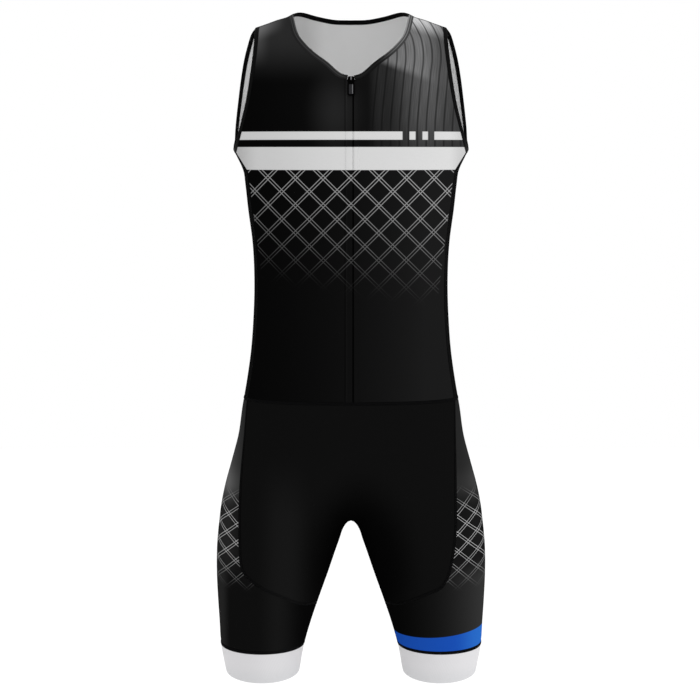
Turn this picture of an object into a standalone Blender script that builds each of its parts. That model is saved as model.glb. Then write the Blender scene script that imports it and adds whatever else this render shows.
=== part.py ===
"""Sleeveless triathlon suit with a front zip and half-length legs, filled out and hollow.

Metres, +Z up, the front faces -Y and +X is the wearer's left. The origin lies midway between
the two shoulder seams. Tables are in millimetres, as on a cutter's chart.

Every cloth piece is a wall cut out of one body form. The form is a stack of level sections:
above the crotch the two halves share one outline, below it each leg has its own. A place on
the cloth is given in the pattern plane by (turn, level): turn is the angle round the section,
-90 degrees at the front, 0 at the side and +90 at the back; level is the height, which on the
shoulders becomes the way along the cloth up to the shoulder seam.
"""

import math
from collections import namedtuple

import bmesh
import bpy
import numpy as np
from mathutils import Matrix, Vector

MM = 0.001

# ---- driving sizes, in millimetres --------------------------------------------------------
WALL = 1.5                  # cloth with its seam allowance
SEAM_GAP = 0.3              # between neighbouring pieces
BINDING_WALL = 2.4          # folded edge tape
NECK_BINDING_WIDTH = 6.5
ARM_BINDING_WIDTH = 5.5

WAIST_SEAM = -545.0
ARMPIT_LEVEL = -188.0       # the shoulder cap begins here
SHOULDER_LENGTH = 300.0     # length given to the way from the armpit level to the shoulder
YOKE_LEVEL = -165.0         # at the middle; the cells change here, with no seam
ARMHOLE_BOTTOM = -192.0     # armhole seam at the side seam
NECK_POINT = (2.0, -91.0)   # where the neck seams meet the zip, across and height
ZIP_ACROSS = 2.0            # the right front reaches this far past the middle, over the teeth
FORK_FRONT = -675.0         # from here down a leg's cells also go round its inside
FORK_BACK = -668.0
CROTCH = -727.0
SPLIT_LEVEL = -560.0        # above it the two halves share one round outline
THIGH_SEAM_INSIDE = -846.0  # height of the thigh seam at the inner leg
CUFF_SEAM = (-905.5, 3.5)   # height at the side, and how far it dips to the front
HEM = (-946.5, 8.5)

CROTCH_ROUND = 18.0         # softens the crease between the legs
CROTCH_REACH = 30.0
FRONT_CAP_POWER = 1.65      # how full the chest is below the shoulder
BACK_CAP_POWER = 2.0

Section = namedtuple("Section", "level outer inner middle front back power")
SECTIONS = (
    # level  outer   inner  middle  front   back  power
    Section(-960, 181.0, 76.0, 0.0, -57.0, 57.0, 2.0),
    Section(-945, 183.5, 73.7, 0.0, -60.0, 60.0, 2.0),
    Section(-906, 190.5, 66.3, 1.0, -66.0, 68.0, 2.0),
    Section(-875, 192.3, 59.4, 1.0, -71.0, 74.0, 2.0),
    Section(-841, 194.5, 47.9, 2.0, -76.0, 80.0, 2.0),
    Section(-800, 196.2, 30.7, 3.0, -82.0, 89.0, 2.05),
    Section(-759, 195.5, 13.7, 5.0, -86.0, 97.0, 2.1),
    Section(-727, 192.5, 0.0, 7.0, -89.0, 103.0, 2.15),
    Section(-700, 189.0, -21.0, 8.0, -90.0, 109.0, 2.2),
    Section(-675, 183.9, -56.0, 9.0, -90.0, 114.0, 2.25),
    Section(-640, 174.4, -109.0, 9.0, -91.0, 119.0, 2.3),
    Section(-600, 163.8, -152.0, 8.0, -94.0, 121.0, 2.3),
    Section(-560, 158.0, -158.0, 6.0, -97.0, 118.0, 2.35),
    Section(-520, 151.0, -151.0, 4.0, -97.0, 111.0, 2.35),
    Section(-480, 145.2, -145.2, 2.0, -96.0, 102.0, 2.35),
    Section(-430, 141.2, -141.2, 0.0, -95.0, 94.0, 2.35),
    Section(-380, 139.6, -139.6, 0.0, -97.0, 90.0, 2.35),
    Section(-320, 142.0, -142.0, 0.0, -103.0, 95.0, 2.4),
    Section(-274, 147.9, -147.9, 0.0, -108.0, 101.0, 2.45),
    Section(-231, 153.0, -153.0, 0.0, -112.0, 106.0, 2.5),
    Section(-215, 156.0, -156.0, 0.0, -112.5, 107.5, 2.5),
    Section(-188, 168.0, -168.0, 0.0, -112.5, 109.0, 2.5),
    Section(-150, 175.0, -175.0, 0.0, -112.5, 109.0, 2.5),
    Section(-90, 178.0, -178.0, 0.0, -112.5, 109.0, 2.5),
    Section(112, 178.0, -178.0, 0.0, -112.5, 109.0, 2.5),
)

Spot = namedtuple("Spot", "across height")
SHOULDER_LINE = (Spot(0, 30), Spot(40, 20), Spot(75, 7), Spot(89, 2.3), Spot(132, -12.5), Spot(180, -29))
SHOULDER_SEAM = (89.0, 132.0)
FRONT_NECK = (
    Spot(*NECK_POINT), Spot(15.8, -84.0), Spot(37.3, -69.0), Spot(56.1, -58.0),
    Spot(72.5, -43.5), Spot(83.6, -27.0), Spot(89, 2.3),
)
BACK_NECK = (Spot(0, -7.0), Spot(25, -6.3), Spot(50, -3.0), Spot(74, 1.5), Spot(89, 2.3))
FRONT_ARM = (
    Spot(155.5, -172.0), Spot(145.3, -141.4), Spot(139.7, -117.3), Spot(136.4, -93.2),
    Spot(134.7, -68.7), Spot(133.3, -41.1), Spot(132, -12.5),
)
BACK_ARM = (
    Spot(166.6, -176.0), Spot(165.8, -160.0), Spot(163.8, -140.0), Spot(161.0, -118.0),
    Spot(157.0, -90.0), Spot(150.8, -60.0), Spot(143.0, -36.0), Spot(132, -12.5),
)
SIDE_SEAM = (
    Spot(149.3, WAIST_SEAM), Spot(139.6, -480), Spot(134.2, -400), Spot(136.5, -320),
    Spot(147.5, -231), Spot(152.6, -212), Spot(165.5, ARMHOLE_BOTTOM),
)
HIP_SEAM_FRONT = {
    "right": (Spot(149.3, WAIST_SEAM), Spot(155, -617), Spot(158.5, -668), Spot(159.5, -733),
              Spot(157.5, -780), Spot(150, -801)),
    "left": (Spot(149.3, WAIST_SEAM), Spot(149.6, -617), Spot(149.4, -675), Spot(149, -731),
             Spot(143, -772), Spot(136, -801)),
}
HIP_SEAM_BACK = (
    Spot(149.3, WAIST_SEAM), Spot(152, -617), Spot(154, -668), Spot(154, -733), Spot(151, -780),
    Spot(144, -801),
)
THIGH_SEAM = (Spot(127.5, -817), Spot(108.7, -826.5), Spot(82.9, -832), Spot(64, -837))

# cells along each edge of the pattern
SHOULDER_CELLS = 5
NECK_CELLS = 4
FRONT_ARMPIT_CELLS = 2
BACK_ARMPIT_CELLS = 4
HIP_CELLS = 6
HALF_CELLS = SHOULDER_CELLS + FRONT_ARMPIT_CELLS
INNER_CELLS = 4
UPPER_ROWS = 17
CHEST_ROWS = 4
NECK_ROWS = 7
SEAT_ROWS = 6
THIGH_ROWS = 8
SHIN_ROWS = 3
CUFF_ROWS = 2

FRONT, BACK = -1, 1
SIDES = {"right": -1, "left": 1}

ON_THE_MIDDLE = 0.05        # points this near the middle lie on it

# the zip
TAPE_HALF_WIDTH = 12.0
TAPE_WALL = 1.2
TAPE_GAP = 0.5
TAPE_SHORT_OF_WAIST = 2.0   # from its ends to the ends of the fronts
TAPE_SHORT_OF_NECK = 2.5
BINDING_END = {"right": 3.2, "left": 6.2}    # from the zip's opening to each end of the neck binding
SLIDER_TOP = -86.5
SLIDER_WALL = 2.2
SLIDER_STAND_OFF = 0.8      # over the cloth, clear of the binding's ends
PIN_RADIUS = 0.55
PIN_DOWN = 8.0              # below the slider's top
PIN_OUT = 2.2               # from the slider's face
PIN_PAST_LUG = 0.2
LUG_WALL = 1.1
LUG_RADIUS = 1.5
LUG_GAP = 0.3               # between a lug and the eye of the pull
LUG_FOOT_WIDTH = 2.7
LUG_FOOT_SUNK = 0.8         # how far the lug's foot starts up in the slider's plate
EYE_RADIUS = 1.5
EYE_BORE = 0.95
EYE_WIDTH = 4.0
EYE_CUT_PAST = 2.0
PULL_WALL = 1.6
PULL_LEAN = 9.5             # degrees; the free end hangs against the cloth

Edge = namedtuple("Edge", "down half_width")
SLIDER_OUTLINE = (          # from the slider's top
    Edge(0.0, 3.2), Edge(1.2, 4.6), Edge(5.5, 4.8), Edge(13.0, 3.6), Edge(14.0, 2.8),
)
PULL_OUTLINE = (            # from the pin to the free end
    Edge(0.9, 1.7), Edge(2.4, 1.9), Edge(4.2, 3.3), Edge(5.4, 3.7), Edge(18.0, 3.7), Edge(19.3, 3.2),
    Edge(20.0, 2.1),
)

COLOURS = {
    "black_cloth": ((0.006, 0.006, 0.007), 0.75, 0.0),
    "white_cuff": ((0.72, 0.72, 0.72), 0.7, 0.0),
    "edge_tape": ((0.010, 0.010, 0.011), 0.6, 0.0),
    "zip_tape": ((0.012, 0.012, 0.013), 0.8, 0.0),
    "zip_metal": ((0.05, 0.05, 0.055), 0.35, 0.9),
}


# ---- the body form ------------------------------------------------------------------------
def smooth(marks, values, at):
    """Reads a table at any mark along a curve without kinks through its rows."""
    marks = np.asarray(marks, float)
    values = np.asarray(values, float)
    slopes = np.gradient(values, marks)
    row = np.clip(np.searchsorted(marks, at) - 1, 0, len(marks) - 2)
    span = marks[row + 1] - marks[row]
    part = np.clip((at - marks[row]) / span, 0.0, 1.0)
    rest = 1.0 - part
    return (
        (1 + 2 * part) * rest**2 * values[row]
        + part * rest**2 * span * slopes[row]
        + (3 - 2 * part) * part**2 * values[row + 1]
        - rest * part**2 * span * slopes[row + 1]
    )


def section(level):
    """The section's numbers at each level, smoothed between the table's rows."""
    marks = [row.level for row in SECTIONS]
    columns = [smooth(marks, [getattr(row, name) for row in SECTIONS], level) for name in Section._fields[1:]]
    cut = Section(level, *columns)
    return cut._replace(inner=np.where(level > SPLIT_LEVEL, -cut.outer, cut.inner))


def crotch_softness(level):
    """How far the crease between the legs is rounded; nothing of it reaches the waist."""
    part = np.clip((WAIST_SEAM - 15.0 - level) / 60.0, 0.0, 1.0)
    return CROTCH_ROUND * part * part * (3 - 2 * part)


def rounded(raw, level):
    """Moves the cloth near the middle out, so the two legs join in a round and not in a crease."""
    soft = crotch_softness(level)
    flat = np.maximum(raw, 0.0)
    across = flat
    for _ in range(20):
        pull = 4 * flat * soft * np.exp(-across / CROTCH_REACH)
        across = (flat + np.sqrt(flat**2 + pull)) / 2
    return np.where(raw < 0, raw, across)


def unrounded(across, level):
    """The reverse of rounded."""
    size = np.abs(across)
    return across * size / (size + crotch_softness(level) * np.exp(-size / CROTCH_REACH) + 1e-9)


def power_arc(value, power):
    """Sine or cosine of a turn, bent to a section's squareness."""
    return np.sign(value) * np.abs(value) ** (2.0 / power)


def shoulder_height(across):
    """Height of the top of the form over each place across."""
    marks = [spot.across for spot in SHOULDER_LINE]
    return smooth(marks, [spot.height for spot in SHOULDER_LINE], np.abs(across))


def form(turn, level):
    """Points of the form's left half, in millimetres, for places in the pattern plane."""
    turn, level = np.broadcast_arrays(np.asarray(turn, float), np.asarray(level, float))
    cut = section(level)
    angle = np.radians(turn)
    half = (cut.outer - cut.inner) / 2
    across = (cut.outer + cut.inner) / 2 + half * power_arc(np.cos(angle), cut.power)
    reach = power_arc(np.sin(angle), cut.power)
    depth = np.where(reach < 0, cut.middle - cut.front, cut.back - cut.middle)
    across = rounded(across, level)
    climb = np.clip((level - ARMPIT_LEVEL) / SHOULDER_LENGTH, 0.0, 1.0)
    rise = np.sin(climb * math.pi / 2)
    cap = np.where(reach < 0, FRONT_CAP_POWER, BACK_CAP_POWER)
    lean = np.maximum(1.0 - rise**cap, 0.0) ** (1.0 / cap)
    height = np.where(
        level > ARMPIT_LEVEL, ARMPIT_LEVEL + (shoulder_height(across) - ARMPIT_LEVEL) * rise, level
    )
    return np.stack([across, cut.middle + depth * reach * lean, height], axis=-1)


def place(across, height, face):
    """The place in the pattern plane that a spot on the front or the back of the form has."""
    across, height = np.broadcast_arrays(np.asarray(across, float), np.asarray(height, float))
    rise = np.clip((height - ARMPIT_LEVEL) / (shoulder_height(across) - ARMPIT_LEVEL), 0.0, 1.0)
    climb = ARMPIT_LEVEL + SHOULDER_LENGTH * np.arcsin(rise) / (math.pi / 2)
    level = np.where(height > ARMPIT_LEVEL, climb, height)
    cut = section(level)
    middle = (cut.outer + cut.inner) / 2
    half = (cut.outer - cut.inner) / 2
    part = np.clip((unrounded(across, level) - middle) / half, -1.0, 1.0)
    bent = np.sign(part) * np.abs(part) ** (cut.power / 2)
    return np.stack([face * np.degrees(np.arccos(bent)), level], axis=-1)


# ---- edges and patches of the pattern -----------------------------------------------------
def drawn(spots, face, detail=80):
    """A smooth edge through spots on the front or the back, in the pattern plane."""
    marks = np.arange(len(spots), dtype=float)
    at = np.linspace(0, len(spots) - 1, detail)
    across = smooth(marks, [spot[0] for spot in spots], at)
    height = smooth(marks, [spot[1] for spot in spots], at)
    return place(across, height, face)


def straight(start, end, detail=80):
    """A straight edge in the pattern plane."""
    part = np.linspace(0.0, 1.0, detail)[:, None]
    return np.asarray(start) * (1 - part) + np.asarray(end) * part


def middle_line(low, high, face, across=0.0, detail=120):
    """The centre line of the front or the back between two heights."""
    return place(across, np.linspace(low, high, detail), face)


def spaced(edge, cells):
    """An edge cut into cells of equal length on the cloth."""
    steps = np.linalg.norm(np.diff(form(edge[:, 0], edge[:, 1]), axis=0), axis=1)
    run = np.concatenate([[0.0], np.cumsum(steps)])
    marks = np.linspace(0.0, run[-1], cells + 1)
    return np.stack([np.interp(marks, run, edge[:, 0]), np.interp(marks, run, edge[:, 1])], axis=-1)


def joined(*edges):
    """Edges end to end; each starts where the last one stops."""
    return np.concatenate([edges[0]] + [edge[1:] for edge in edges[1:]])


def filled(bottom, top, left, right):
    """A grid of places between four edges, blended from all of them."""
    u = np.linspace(0, 1, len(bottom))[None, :, None]
    v = np.linspace(0, 1, len(left))[:, None, None]
    across = left[:, None] * (1 - u) + right[:, None] * u
    along = bottom[None] * (1 - v) + top[None] * v
    corners = (
        bottom[0] * (1 - u) * (1 - v) + bottom[-1] * u * (1 - v) + top[0] * (1 - u) * v + top[-1] * u * v
    )
    return across + along - corners


def ring_level(seam, turn):
    """Height of a seam round the leg that dips towards the front."""
    level, dip = seam
    return level + dip * np.sin(np.radians(turn))


# ---- laying out the pattern ----------------------------------------------------------------
def upper_front(side):
    """Patches of one upper front: below the armhole, and from there to the shoulder."""
    lead = ZIP_ACROSS * SIDES[side]
    low, high, neck = WAIST_SEAM, YOKE_LEVEL, NECK_POINT[1]
    seam = spaced(drawn(SIDE_SEAM, FRONT), UPPER_ROWS)
    opening = spaced(middle_line(low, high, FRONT, lead), UPPER_ROWS)
    waist = spaced(straight(opening[0], seam[0]), HALF_CELLS)
    yoke = spaced(straight(opening[-1], drawn(FRONT_ARM, FRONT)[0]), SHOULDER_CELLS)
    armpit = spaced(armpit_edge(yoke[-1], seam[-1]), FRONT_ARMPIT_CELLS)
    trunk = filled(waist, joined(yoke, armpit), opening, seam)
    chest = spaced(middle_line(high, neck, FRONT, lead), CHEST_ROWS)
    neckline = drawn((Spot(lead, neck),) + FRONT_NECK[1:], FRONT)
    inside = joined(chest, spaced(neckline, NECK_ROWS))
    outside = spaced(drawn(FRONT_ARM, FRONT), CHEST_ROWS + NECK_ROWS)
    shoulder = shoulder_edge(FRONT)
    return [trunk, filled(yoke, shoulder, inside, outside)]


def shoulder_edge(face):
    """The shoulder seam, along the top of the form from the neck outwards."""
    across = np.linspace(*SHOULDER_SEAM, 40)
    return spaced(place(across, shoulder_height(across), face), SHOULDER_CELLS)


def armpit_edge(corner, lowest):
    """The round bottom of the armhole: an eighth of a circle, from its corner to the side seam."""
    part = np.linspace(math.pi / 4, math.pi / 2, 60)
    turn = lowest[0] + (corner[0] - lowest[0]) * np.cos(part) / np.cos(part[0])
    level = lowest[1] + (corner[1] - lowest[1]) * (1 - np.sin(part)) / (1 - np.sin(part[0]))
    return np.stack([turn, level], axis=-1)


def upper_back():
    """Patches of one half of the back, from the side seam round to the centre."""
    seam = spaced(drawn(SIDE_SEAM, FRONT), UPPER_ROWS)
    centre = spaced(middle_line(WAIST_SEAM, YOKE_LEVEL, BACK), UPPER_ROWS)
    armhole = drawn(BACK_ARM, BACK)
    waist = joined(waist_edge_hip(), waist_edge_seat()[::-1])
    armpit = spaced(armpit_edge(armhole[0], seam[-1])[::-1], BACK_ARMPIT_CELLS)
    yoke = spaced(straight(armhole[0], centre[-1]), SHOULDER_CELLS + NECK_CELLS)
    trunk = filled(waist, joined(armpit, yoke), seam, centre)
    rows = CHEST_ROWS + NECK_ROWS
    outside = spaced(armhole, rows)
    inside = spaced(middle_line(YOKE_LEVEL, BACK_NECK[0].height, BACK), rows)
    shoulder = shoulder_edge(BACK)[::-1]
    neckline = spaced(drawn(BACK_NECK, BACK), NECK_CELLS)[::-1]
    return [trunk, filled(yoke, joined(shoulder, neckline), outside, inside)]


def waist_edge_hip():
    """Waist edge of the hip panel, from its front seam round the side to its back seam."""
    front = place(HIP_SEAM_BACK[0].across, WAIST_SEAM, FRONT)
    back = place(HIP_SEAM_BACK[0].across, WAIST_SEAM, BACK)
    return spaced(straight(front, back), HIP_CELLS)


def waist_edge_seat():
    """Waist edge of one half of the seat, from the centre back to the hip panel."""
    centre = place(0.0, WAIST_SEAM, BACK)
    return spaced(straight(centre, waist_edge_hip()[-1]), HALF_CELLS)


def hip_seam(side, face):
    """The hip panel's front or back seam, cut into the rows of the seat and of the thigh."""
    spots = HIP_SEAM_FRONT[side] if face == FRONT else HIP_SEAM_BACK
    line = drawn(spots, face)
    fork = np.argmin(np.abs(line[:, 1] - (FORK_FRONT if face == FRONT else FORK_BACK)))
    return spaced(line[: fork + 1], SEAT_ROWS), spaced(line[fork:], THIGH_ROWS)


def thigh_seam(side, face):
    """The curved seam across the thigh, from the inner leg out to the hip panel."""
    corner = (HIP_SEAM_FRONT[side] if face == FRONT else HIP_SEAM_BACK)[-1]
    line = drawn((corner,) + THIGH_SEAM, face)[::-1]
    inner = np.array([face * 180.0, THIGH_SEAM_INSIDE])
    start = line[0]
    part = np.linspace(0.0, 1.0, 30)[:-1, None]
    reach = inner * (1 - part) + start * part
    reach[:, 1] = THIGH_SEAM_INSIDE + (start[1] - THIGH_SEAM_INSIDE) * (1 - (1 - part[:, 0]) ** 2)
    return spaced(np.concatenate([reach, line]), INNER_CELLS + HALF_CELLS)


def shorts_half(side, face):
    """Patches of one thigh of the shorts, front or back: the seat, and below the fork."""
    seat_seam, thigh_side = hip_seam(side, face)
    fork = FORK_FRONT if face == FRONT else FORK_BACK
    centre = spaced(middle_line(WAIST_SEAM, fork, face), SEAT_ROWS)
    fork_row = spaced(straight(centre[-1], seat_seam[-1]), HALF_CELLS)
    if face == FRONT:
        waist = spaced(straight(centre[0], seat_seam[0]), HALF_CELLS)
    else:
        waist = waist_edge_seat()
    seat = filled(waist, fork_row, centre, seat_seam)
    near = fork + (CROTCH - fork) * (1 - (1 - np.linspace(0.0, 1.0, 200)) ** 2)
    under = place(0.0, near, face)
    under[-1] = (face * 180.0, CROTCH)
    crotch = spaced(under[::-1], INNER_CELLS)
    inner = spaced(straight((face * 180.0, CROTCH), (face * 180.0, THIGH_SEAM_INSIDE)), THIGH_ROWS)
    thigh = filled(joined(crotch, fork_row), thigh_seam(side, face), inner, thigh_side)
    return [seat, thigh]


def leg_patches(side):
    """Patches of one leg panel: the hip, the outer thigh, and the tube above the cuff."""
    front_seat, front_thigh = hip_seam(side, FRONT)
    back_seat, back_thigh = hip_seam(side, BACK)
    waist = waist_edge_hip()
    fork = spaced(straight(front_seat[-1], back_seat[-1]), HIP_CELLS)
    low = spaced(straight(front_thigh[-1], back_thigh[-1]), HIP_CELLS)
    hip = filled(waist, fork, front_seat, back_seat)
    outer = filled(fork, low, front_thigh, back_thigh)
    top = joined(thigh_seam(side, FRONT), low, thigh_seam(side, BACK)[::-1])
    bottom = seam_ring(CUFF_SEAM)
    left = spaced(straight(top[0], bottom[0]), SHIN_ROWS)
    right = spaced(straight(top[-1], bottom[-1]), SHIN_ROWS)
    return [hip, outer, filled(top, bottom, left, right)]


def seam_ring(seam):
    """A seam all round the leg, from the inner leg over the front, the side and the back."""
    turn = np.linspace(-180.0, 180.0, 361)
    cells = 2 * (INNER_CELLS + HALF_CELLS) + HIP_CELLS
    return spaced(np.stack([turn, ring_level(seam, turn)], axis=-1), cells)


def cuff_patch():
    """The cuff, from its seam down to the hem."""
    top, bottom = seam_ring(CUFF_SEAM), seam_ring(HEM)
    left = spaced(straight(top[0], bottom[0]), CUFF_ROWS)
    right = spaced(straight(top[-1], bottom[-1]), CUFF_ROWS)
    return [filled(top, bottom, left, right)]


# ---- one welded sheet that all the pieces are cut from ---------------------------------------
class Sheet:
    """Points and four-sided cells of the whole garment; each cell belongs to one piece."""

    def __init__(self):
        self.index = {}
        self.points = []
        self.cells = {}

    def point(self, spot):
        """The number of a point; spots that coincide share it."""
        if abs(spot[0]) < ON_THE_MIDDLE:
            spot = spot * np.array([0, 1, 1])
        key = tuple(int(round(value * 100)) for value in spot)
        if key not in self.index:
            self.index[key] = len(self.points)
            self.points.append(np.array(spot, float))
        return self.index[key]

    def add(self, piece, patch, side):
        """Lays one patch of the pattern on the form, on the left or the right."""
        grid = form(patch[..., 0], patch[..., 1]) * np.array([SIDES[side], 1, 1])
        numbers = [[self.point(spot) for spot in row] for row in grid]
        cut = section(patch[..., 1])
        hub = np.stack([SIDES[side] * (cut.outer + cut.inner) / 2, cut.middle, grid[..., 2]], axis=-1)
        for i in range(len(numbers) - 1):
            for j in range(len(numbers[0]) - 1):
                cell = [numbers[i][j], numbers[i][j + 1], numbers[i + 1][j + 1], numbers[i + 1][j]]
                self.add_cell(piece, cell, hub[i, j])

    def add_cell(self, piece, cell, hub):
        """Adds a cell, with its points in order round its outer face."""
        kept = [n for k, n in enumerate(cell) if n != cell[k - 1]]
        corners = np.array([self.points[n] for n in kept])
        normal = np.cross(corners[2] - corners[0], corners[-1] - corners[1])
        if np.dot(normal, corners.mean(axis=0) - hub) < 0:
            kept.reverse()
        self.cells.setdefault(piece, []).append(kept)

    def finish(self):
        """Works out the way out of the cloth at each point, from all the cells round it."""
        self.points = np.array(self.points)
        self.normals = np.zeros_like(self.points)
        for cells in self.cells.values():
            for cell in cells:
                corners = self.points[cell]
                self.normals[cell] += np.cross(corners[2] - corners[0], corners[-1] - corners[1])
        self.normals /= np.linalg.norm(self.normals, axis=1)[:, None]


def free_edges(cells):
    """The edges that only one of the cells has, each from its first point to its second."""
    edges = {(cell[k - 1], cell[k]) for cell in cells for k in range(len(cell))}
    return {a: b for a, b in edges if (b, a) not in edges}


def inward(sheet, edges):
    """At each point of the free edges, the step into the cloth that clears them by one."""
    before = {b: a for a, b in edges.items()}
    steps = {}
    for point, after in edges.items():
        ways = []
        for start, end in ((before[point], point), (point, after)):
            way = np.cross(sheet.normals[point], sheet.points[end] - sheet.points[start])
            ways.append(way / np.linalg.norm(way))
        steps[point] = (ways[0] + ways[1]) / (1 + np.dot(*ways))
    return steps


# ---- solids -----------------------------------------------------------------------------------
def material(name):
    """One plain finish, made once."""
    made = bpy.data.materials.get(name)
    if made is None:
        colour, roughness, metallic = COLOURS[name]
        made = bpy.data.materials.new(name)
        made.use_nodes = True
        shader = made.node_tree.nodes["Principled BSDF"]
        shader.inputs["Base Color"].default_value = (*colour, 1.0)
        shader.inputs["Roughness"].default_value = roughness
        shader.inputs["Metallic"].default_value = metallic
    return made


def solid(name, points, faces, finish):
    """A named object from points in millimetres and its faces."""
    mesh = bpy.data.meshes.new(name)
    mesh.from_pydata([Vector(point) * MM for point in points], [], faces)
    mesh.shade_smooth()
    mesh.set_sharp_from_angle(angle=math.radians(40))
    mesh.materials.append(material(finish))
    made = bpy.data.objects.new(name, mesh)
    bpy.context.scene.collection.objects.link(made)


def cloth(sheet, piece, finish):
    """Cuts one piece out of the sheet and gives it its wall, with half a gap at every edge."""
    cells = sheet.cells[piece]
    edges = free_edges(cells)
    numbers = sorted({point for cell in cells for point in cell})
    outer = {point: k for k, point in enumerate(numbers)}
    shift = np.zeros((len(numbers), 3))
    for point, step in inward(sheet, edges).items():
        shift[outer[point]] = step * SEAM_GAP / 2
    outside = sheet.points[numbers] + shift
    inside = outside - sheet.normals[numbers] * WALL
    count = len(numbers)
    faces = [[outer[point] for point in cell] for cell in cells]
    faces += [[outer[point] + count for point in reversed(cell)] for cell in cells]
    faces += [[outer[b], outer[a], outer[a] + count, outer[b] + count] for a, b in edges.items()]
    solid(piece, np.concatenate([outside, inside]), faces, finish)


def edge_route(sheet, near):
    """The points round the opening nearest a spot, in order, and the steps into the cloth there."""
    edges = free_edges([cell for cells in sheet.cells.values() for cell in cells])
    start = min(edges, key=lambda point: np.linalg.norm(sheet.points[point] - near))
    route = [start]
    while edges[route[-1]] != start:
        route.append(edges[route[-1]])
    return route, inward(sheet, edges)


def binding_section(width):
    """The folded tape's section: across from the seam to the fold, and out of the cloth."""
    top = (BINDING_WALL - WALL) / 2
    bottom = top - BINDING_WALL
    middle, radius = (top + bottom) / 2, BINDING_WALL / 2
    fold = [
        (width - radius + radius * math.sin(turn), middle + radius * math.cos(turn))
        for turn in np.radians((0, 45, 90, 135, 180))
    ]
    return [(SEAM_GAP / 2, top)] + fold + [(SEAM_GAP / 2, bottom)]


def skinned(name, rings, closed, finish):
    """A solid between rings of points that follow one another along a route."""
    count, size = len(rings), len(rings[0])
    faces = []
    for k in range(count if closed else count - 1):
        here, there = k * size, (k + 1) % count * size
        for j in range(size):
            after = (j + 1) % size
            faces.append([here + j, here + after, there + after, there + j])
    if not closed:
        faces += [list(range(size))[::-1], [(count - 1) * size + j for j in range(size)]]
    solid(name, [point for ring in rings for point in ring], faces, finish)


def swept(name, frames, profile, closed, finish):
    """A solid with one section all along a route of (point, across, out) frames."""
    rings = [[point + across * a + out * b for a, b in profile] for point, across, out in frames]
    skinned(name, rings, closed, finish)


def arm_binding(sheet, side):
    """The tape round one armhole."""
    spot = np.array([SIDES[side] * 165.0, 0.0, ARMHOLE_BOTTOM])
    route, steps = edge_route(sheet, spot)
    frames = [(sheet.points[n], -steps[n], sheet.normals[n]) for n in route]
    swept(f"armhole_binding_{side}", frames, binding_section(ARM_BINDING_WIDTH), True, "edge_tape")


def neck_binding(sheet):
    """The tape round the neck, open where it ends on each side of the zip."""
    route, steps = edge_route(sheet, form(*place(*NECK_POINT, FRONT)))
    frames = [(sheet.points[n], -steps[n], sheet.normals[n]) for n in route[1:]]
    corner, normal = sheet.points[route[0]], sheet.normals[route[0]]
    first = sheet.points[route[1]] - corner
    last = sheet.points[route[-1]] - corner
    side = "left" if first[0] > 0 else "right"
    other = "right" if side == "left" else "left"
    ends = []
    for way, name, turned in ((first, side, -1), (last, other, 1)):
        along = way / np.linalg.norm(way)
        ends.append((corner + along * BINDING_END[name], turned * np.cross(normal, along), normal))
    swept(
        "neck_binding", [ends[0], *frames, ends[1]], binding_section(NECK_BINDING_WIDTH), False,
        "edge_tape",
    )


def zip_tape(sheet, fronts):
    """The closed zip's tape, behind the edges of the two fronts and parallel to them."""
    lines = []
    for grid in fronts:
        edge, beside = grid[:, 0], grid[:, 1]
        way = beside - edge
        lines.append(edge + way * TAPE_HALF_WIDTH / np.linalg.norm(way, axis=1)[:, None])
    middle = fronts[0][:, 0]
    normals = np.array([sheet.normals[sheet.point(spot)] for spot in middle])
    rows = np.stack([lines[0], middle, lines[1]], axis=1)
    rows[0, :, 2] += TAPE_SHORT_OF_WAIST
    rows[-1, :, 2] -= TAPE_SHORT_OF_NECK
    near = rows - normals[:, None] * (WALL + TAPE_GAP)
    far = near - normals[:, None] * TAPE_WALL
    skinned("zip_tape", np.concatenate([near, far[:, ::-1]], axis=1), False, "zip_tape")


# ---- slider and pull ----------------------------------------------------------------------------
def slider_frame():
    """Where the slider lies: its top on the cloth, with local Y up the zip and Z out of it."""
    low = form(*place(0.0, SLIDER_TOP - SLIDER_OUTLINE[-1].down, FRONT))
    top = form(*place(0.0, SLIDER_TOP, FRONT))
    up = Vector(top - low).normalized()
    out = Vector((1, 0, 0)).cross(up).normalized()
    frame = Matrix((Vector((1, 0, 0)), up, out)).transposed().to_4x4()
    frame.translation = (Vector(top) + out * SLIDER_STAND_OFF) * MM
    return frame


def rod(radius, length, at, segments=20):
    """A bmesh rod across the zip, in millimetres."""
    made = bmesh.new()
    bmesh.ops.create_cone(
        made, cap_ends=True, segments=segments, radius1=radius, radius2=radius, depth=length,
        matrix=Matrix.Translation(at) @ Matrix.Rotation(math.pi / 2, 4, "Y"),
    )
    return made


def plate(edges, low, high):
    """A bmesh plate with the outline of a table of edges, between two heights."""
    made = bmesh.new()
    outline = [(-edge.half_width, -edge.down) for edge in edges]
    outline += [(edge.half_width, -edge.down) for edge in reversed(edges)]
    rings = [[made.verts.new((x, y, z)) for x, y in outline] for z in (low, high)]
    made.faces.new(rings[0])
    made.faces.new(rings[1][::-1])
    for k in range(len(outline)):
        made.faces.new([rings[0][k - 1], rings[0][k], rings[1][k], rings[1][k - 1]][::-1])
    bmesh.ops.recalc_face_normals(made, faces=made.faces)
    return made


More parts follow.
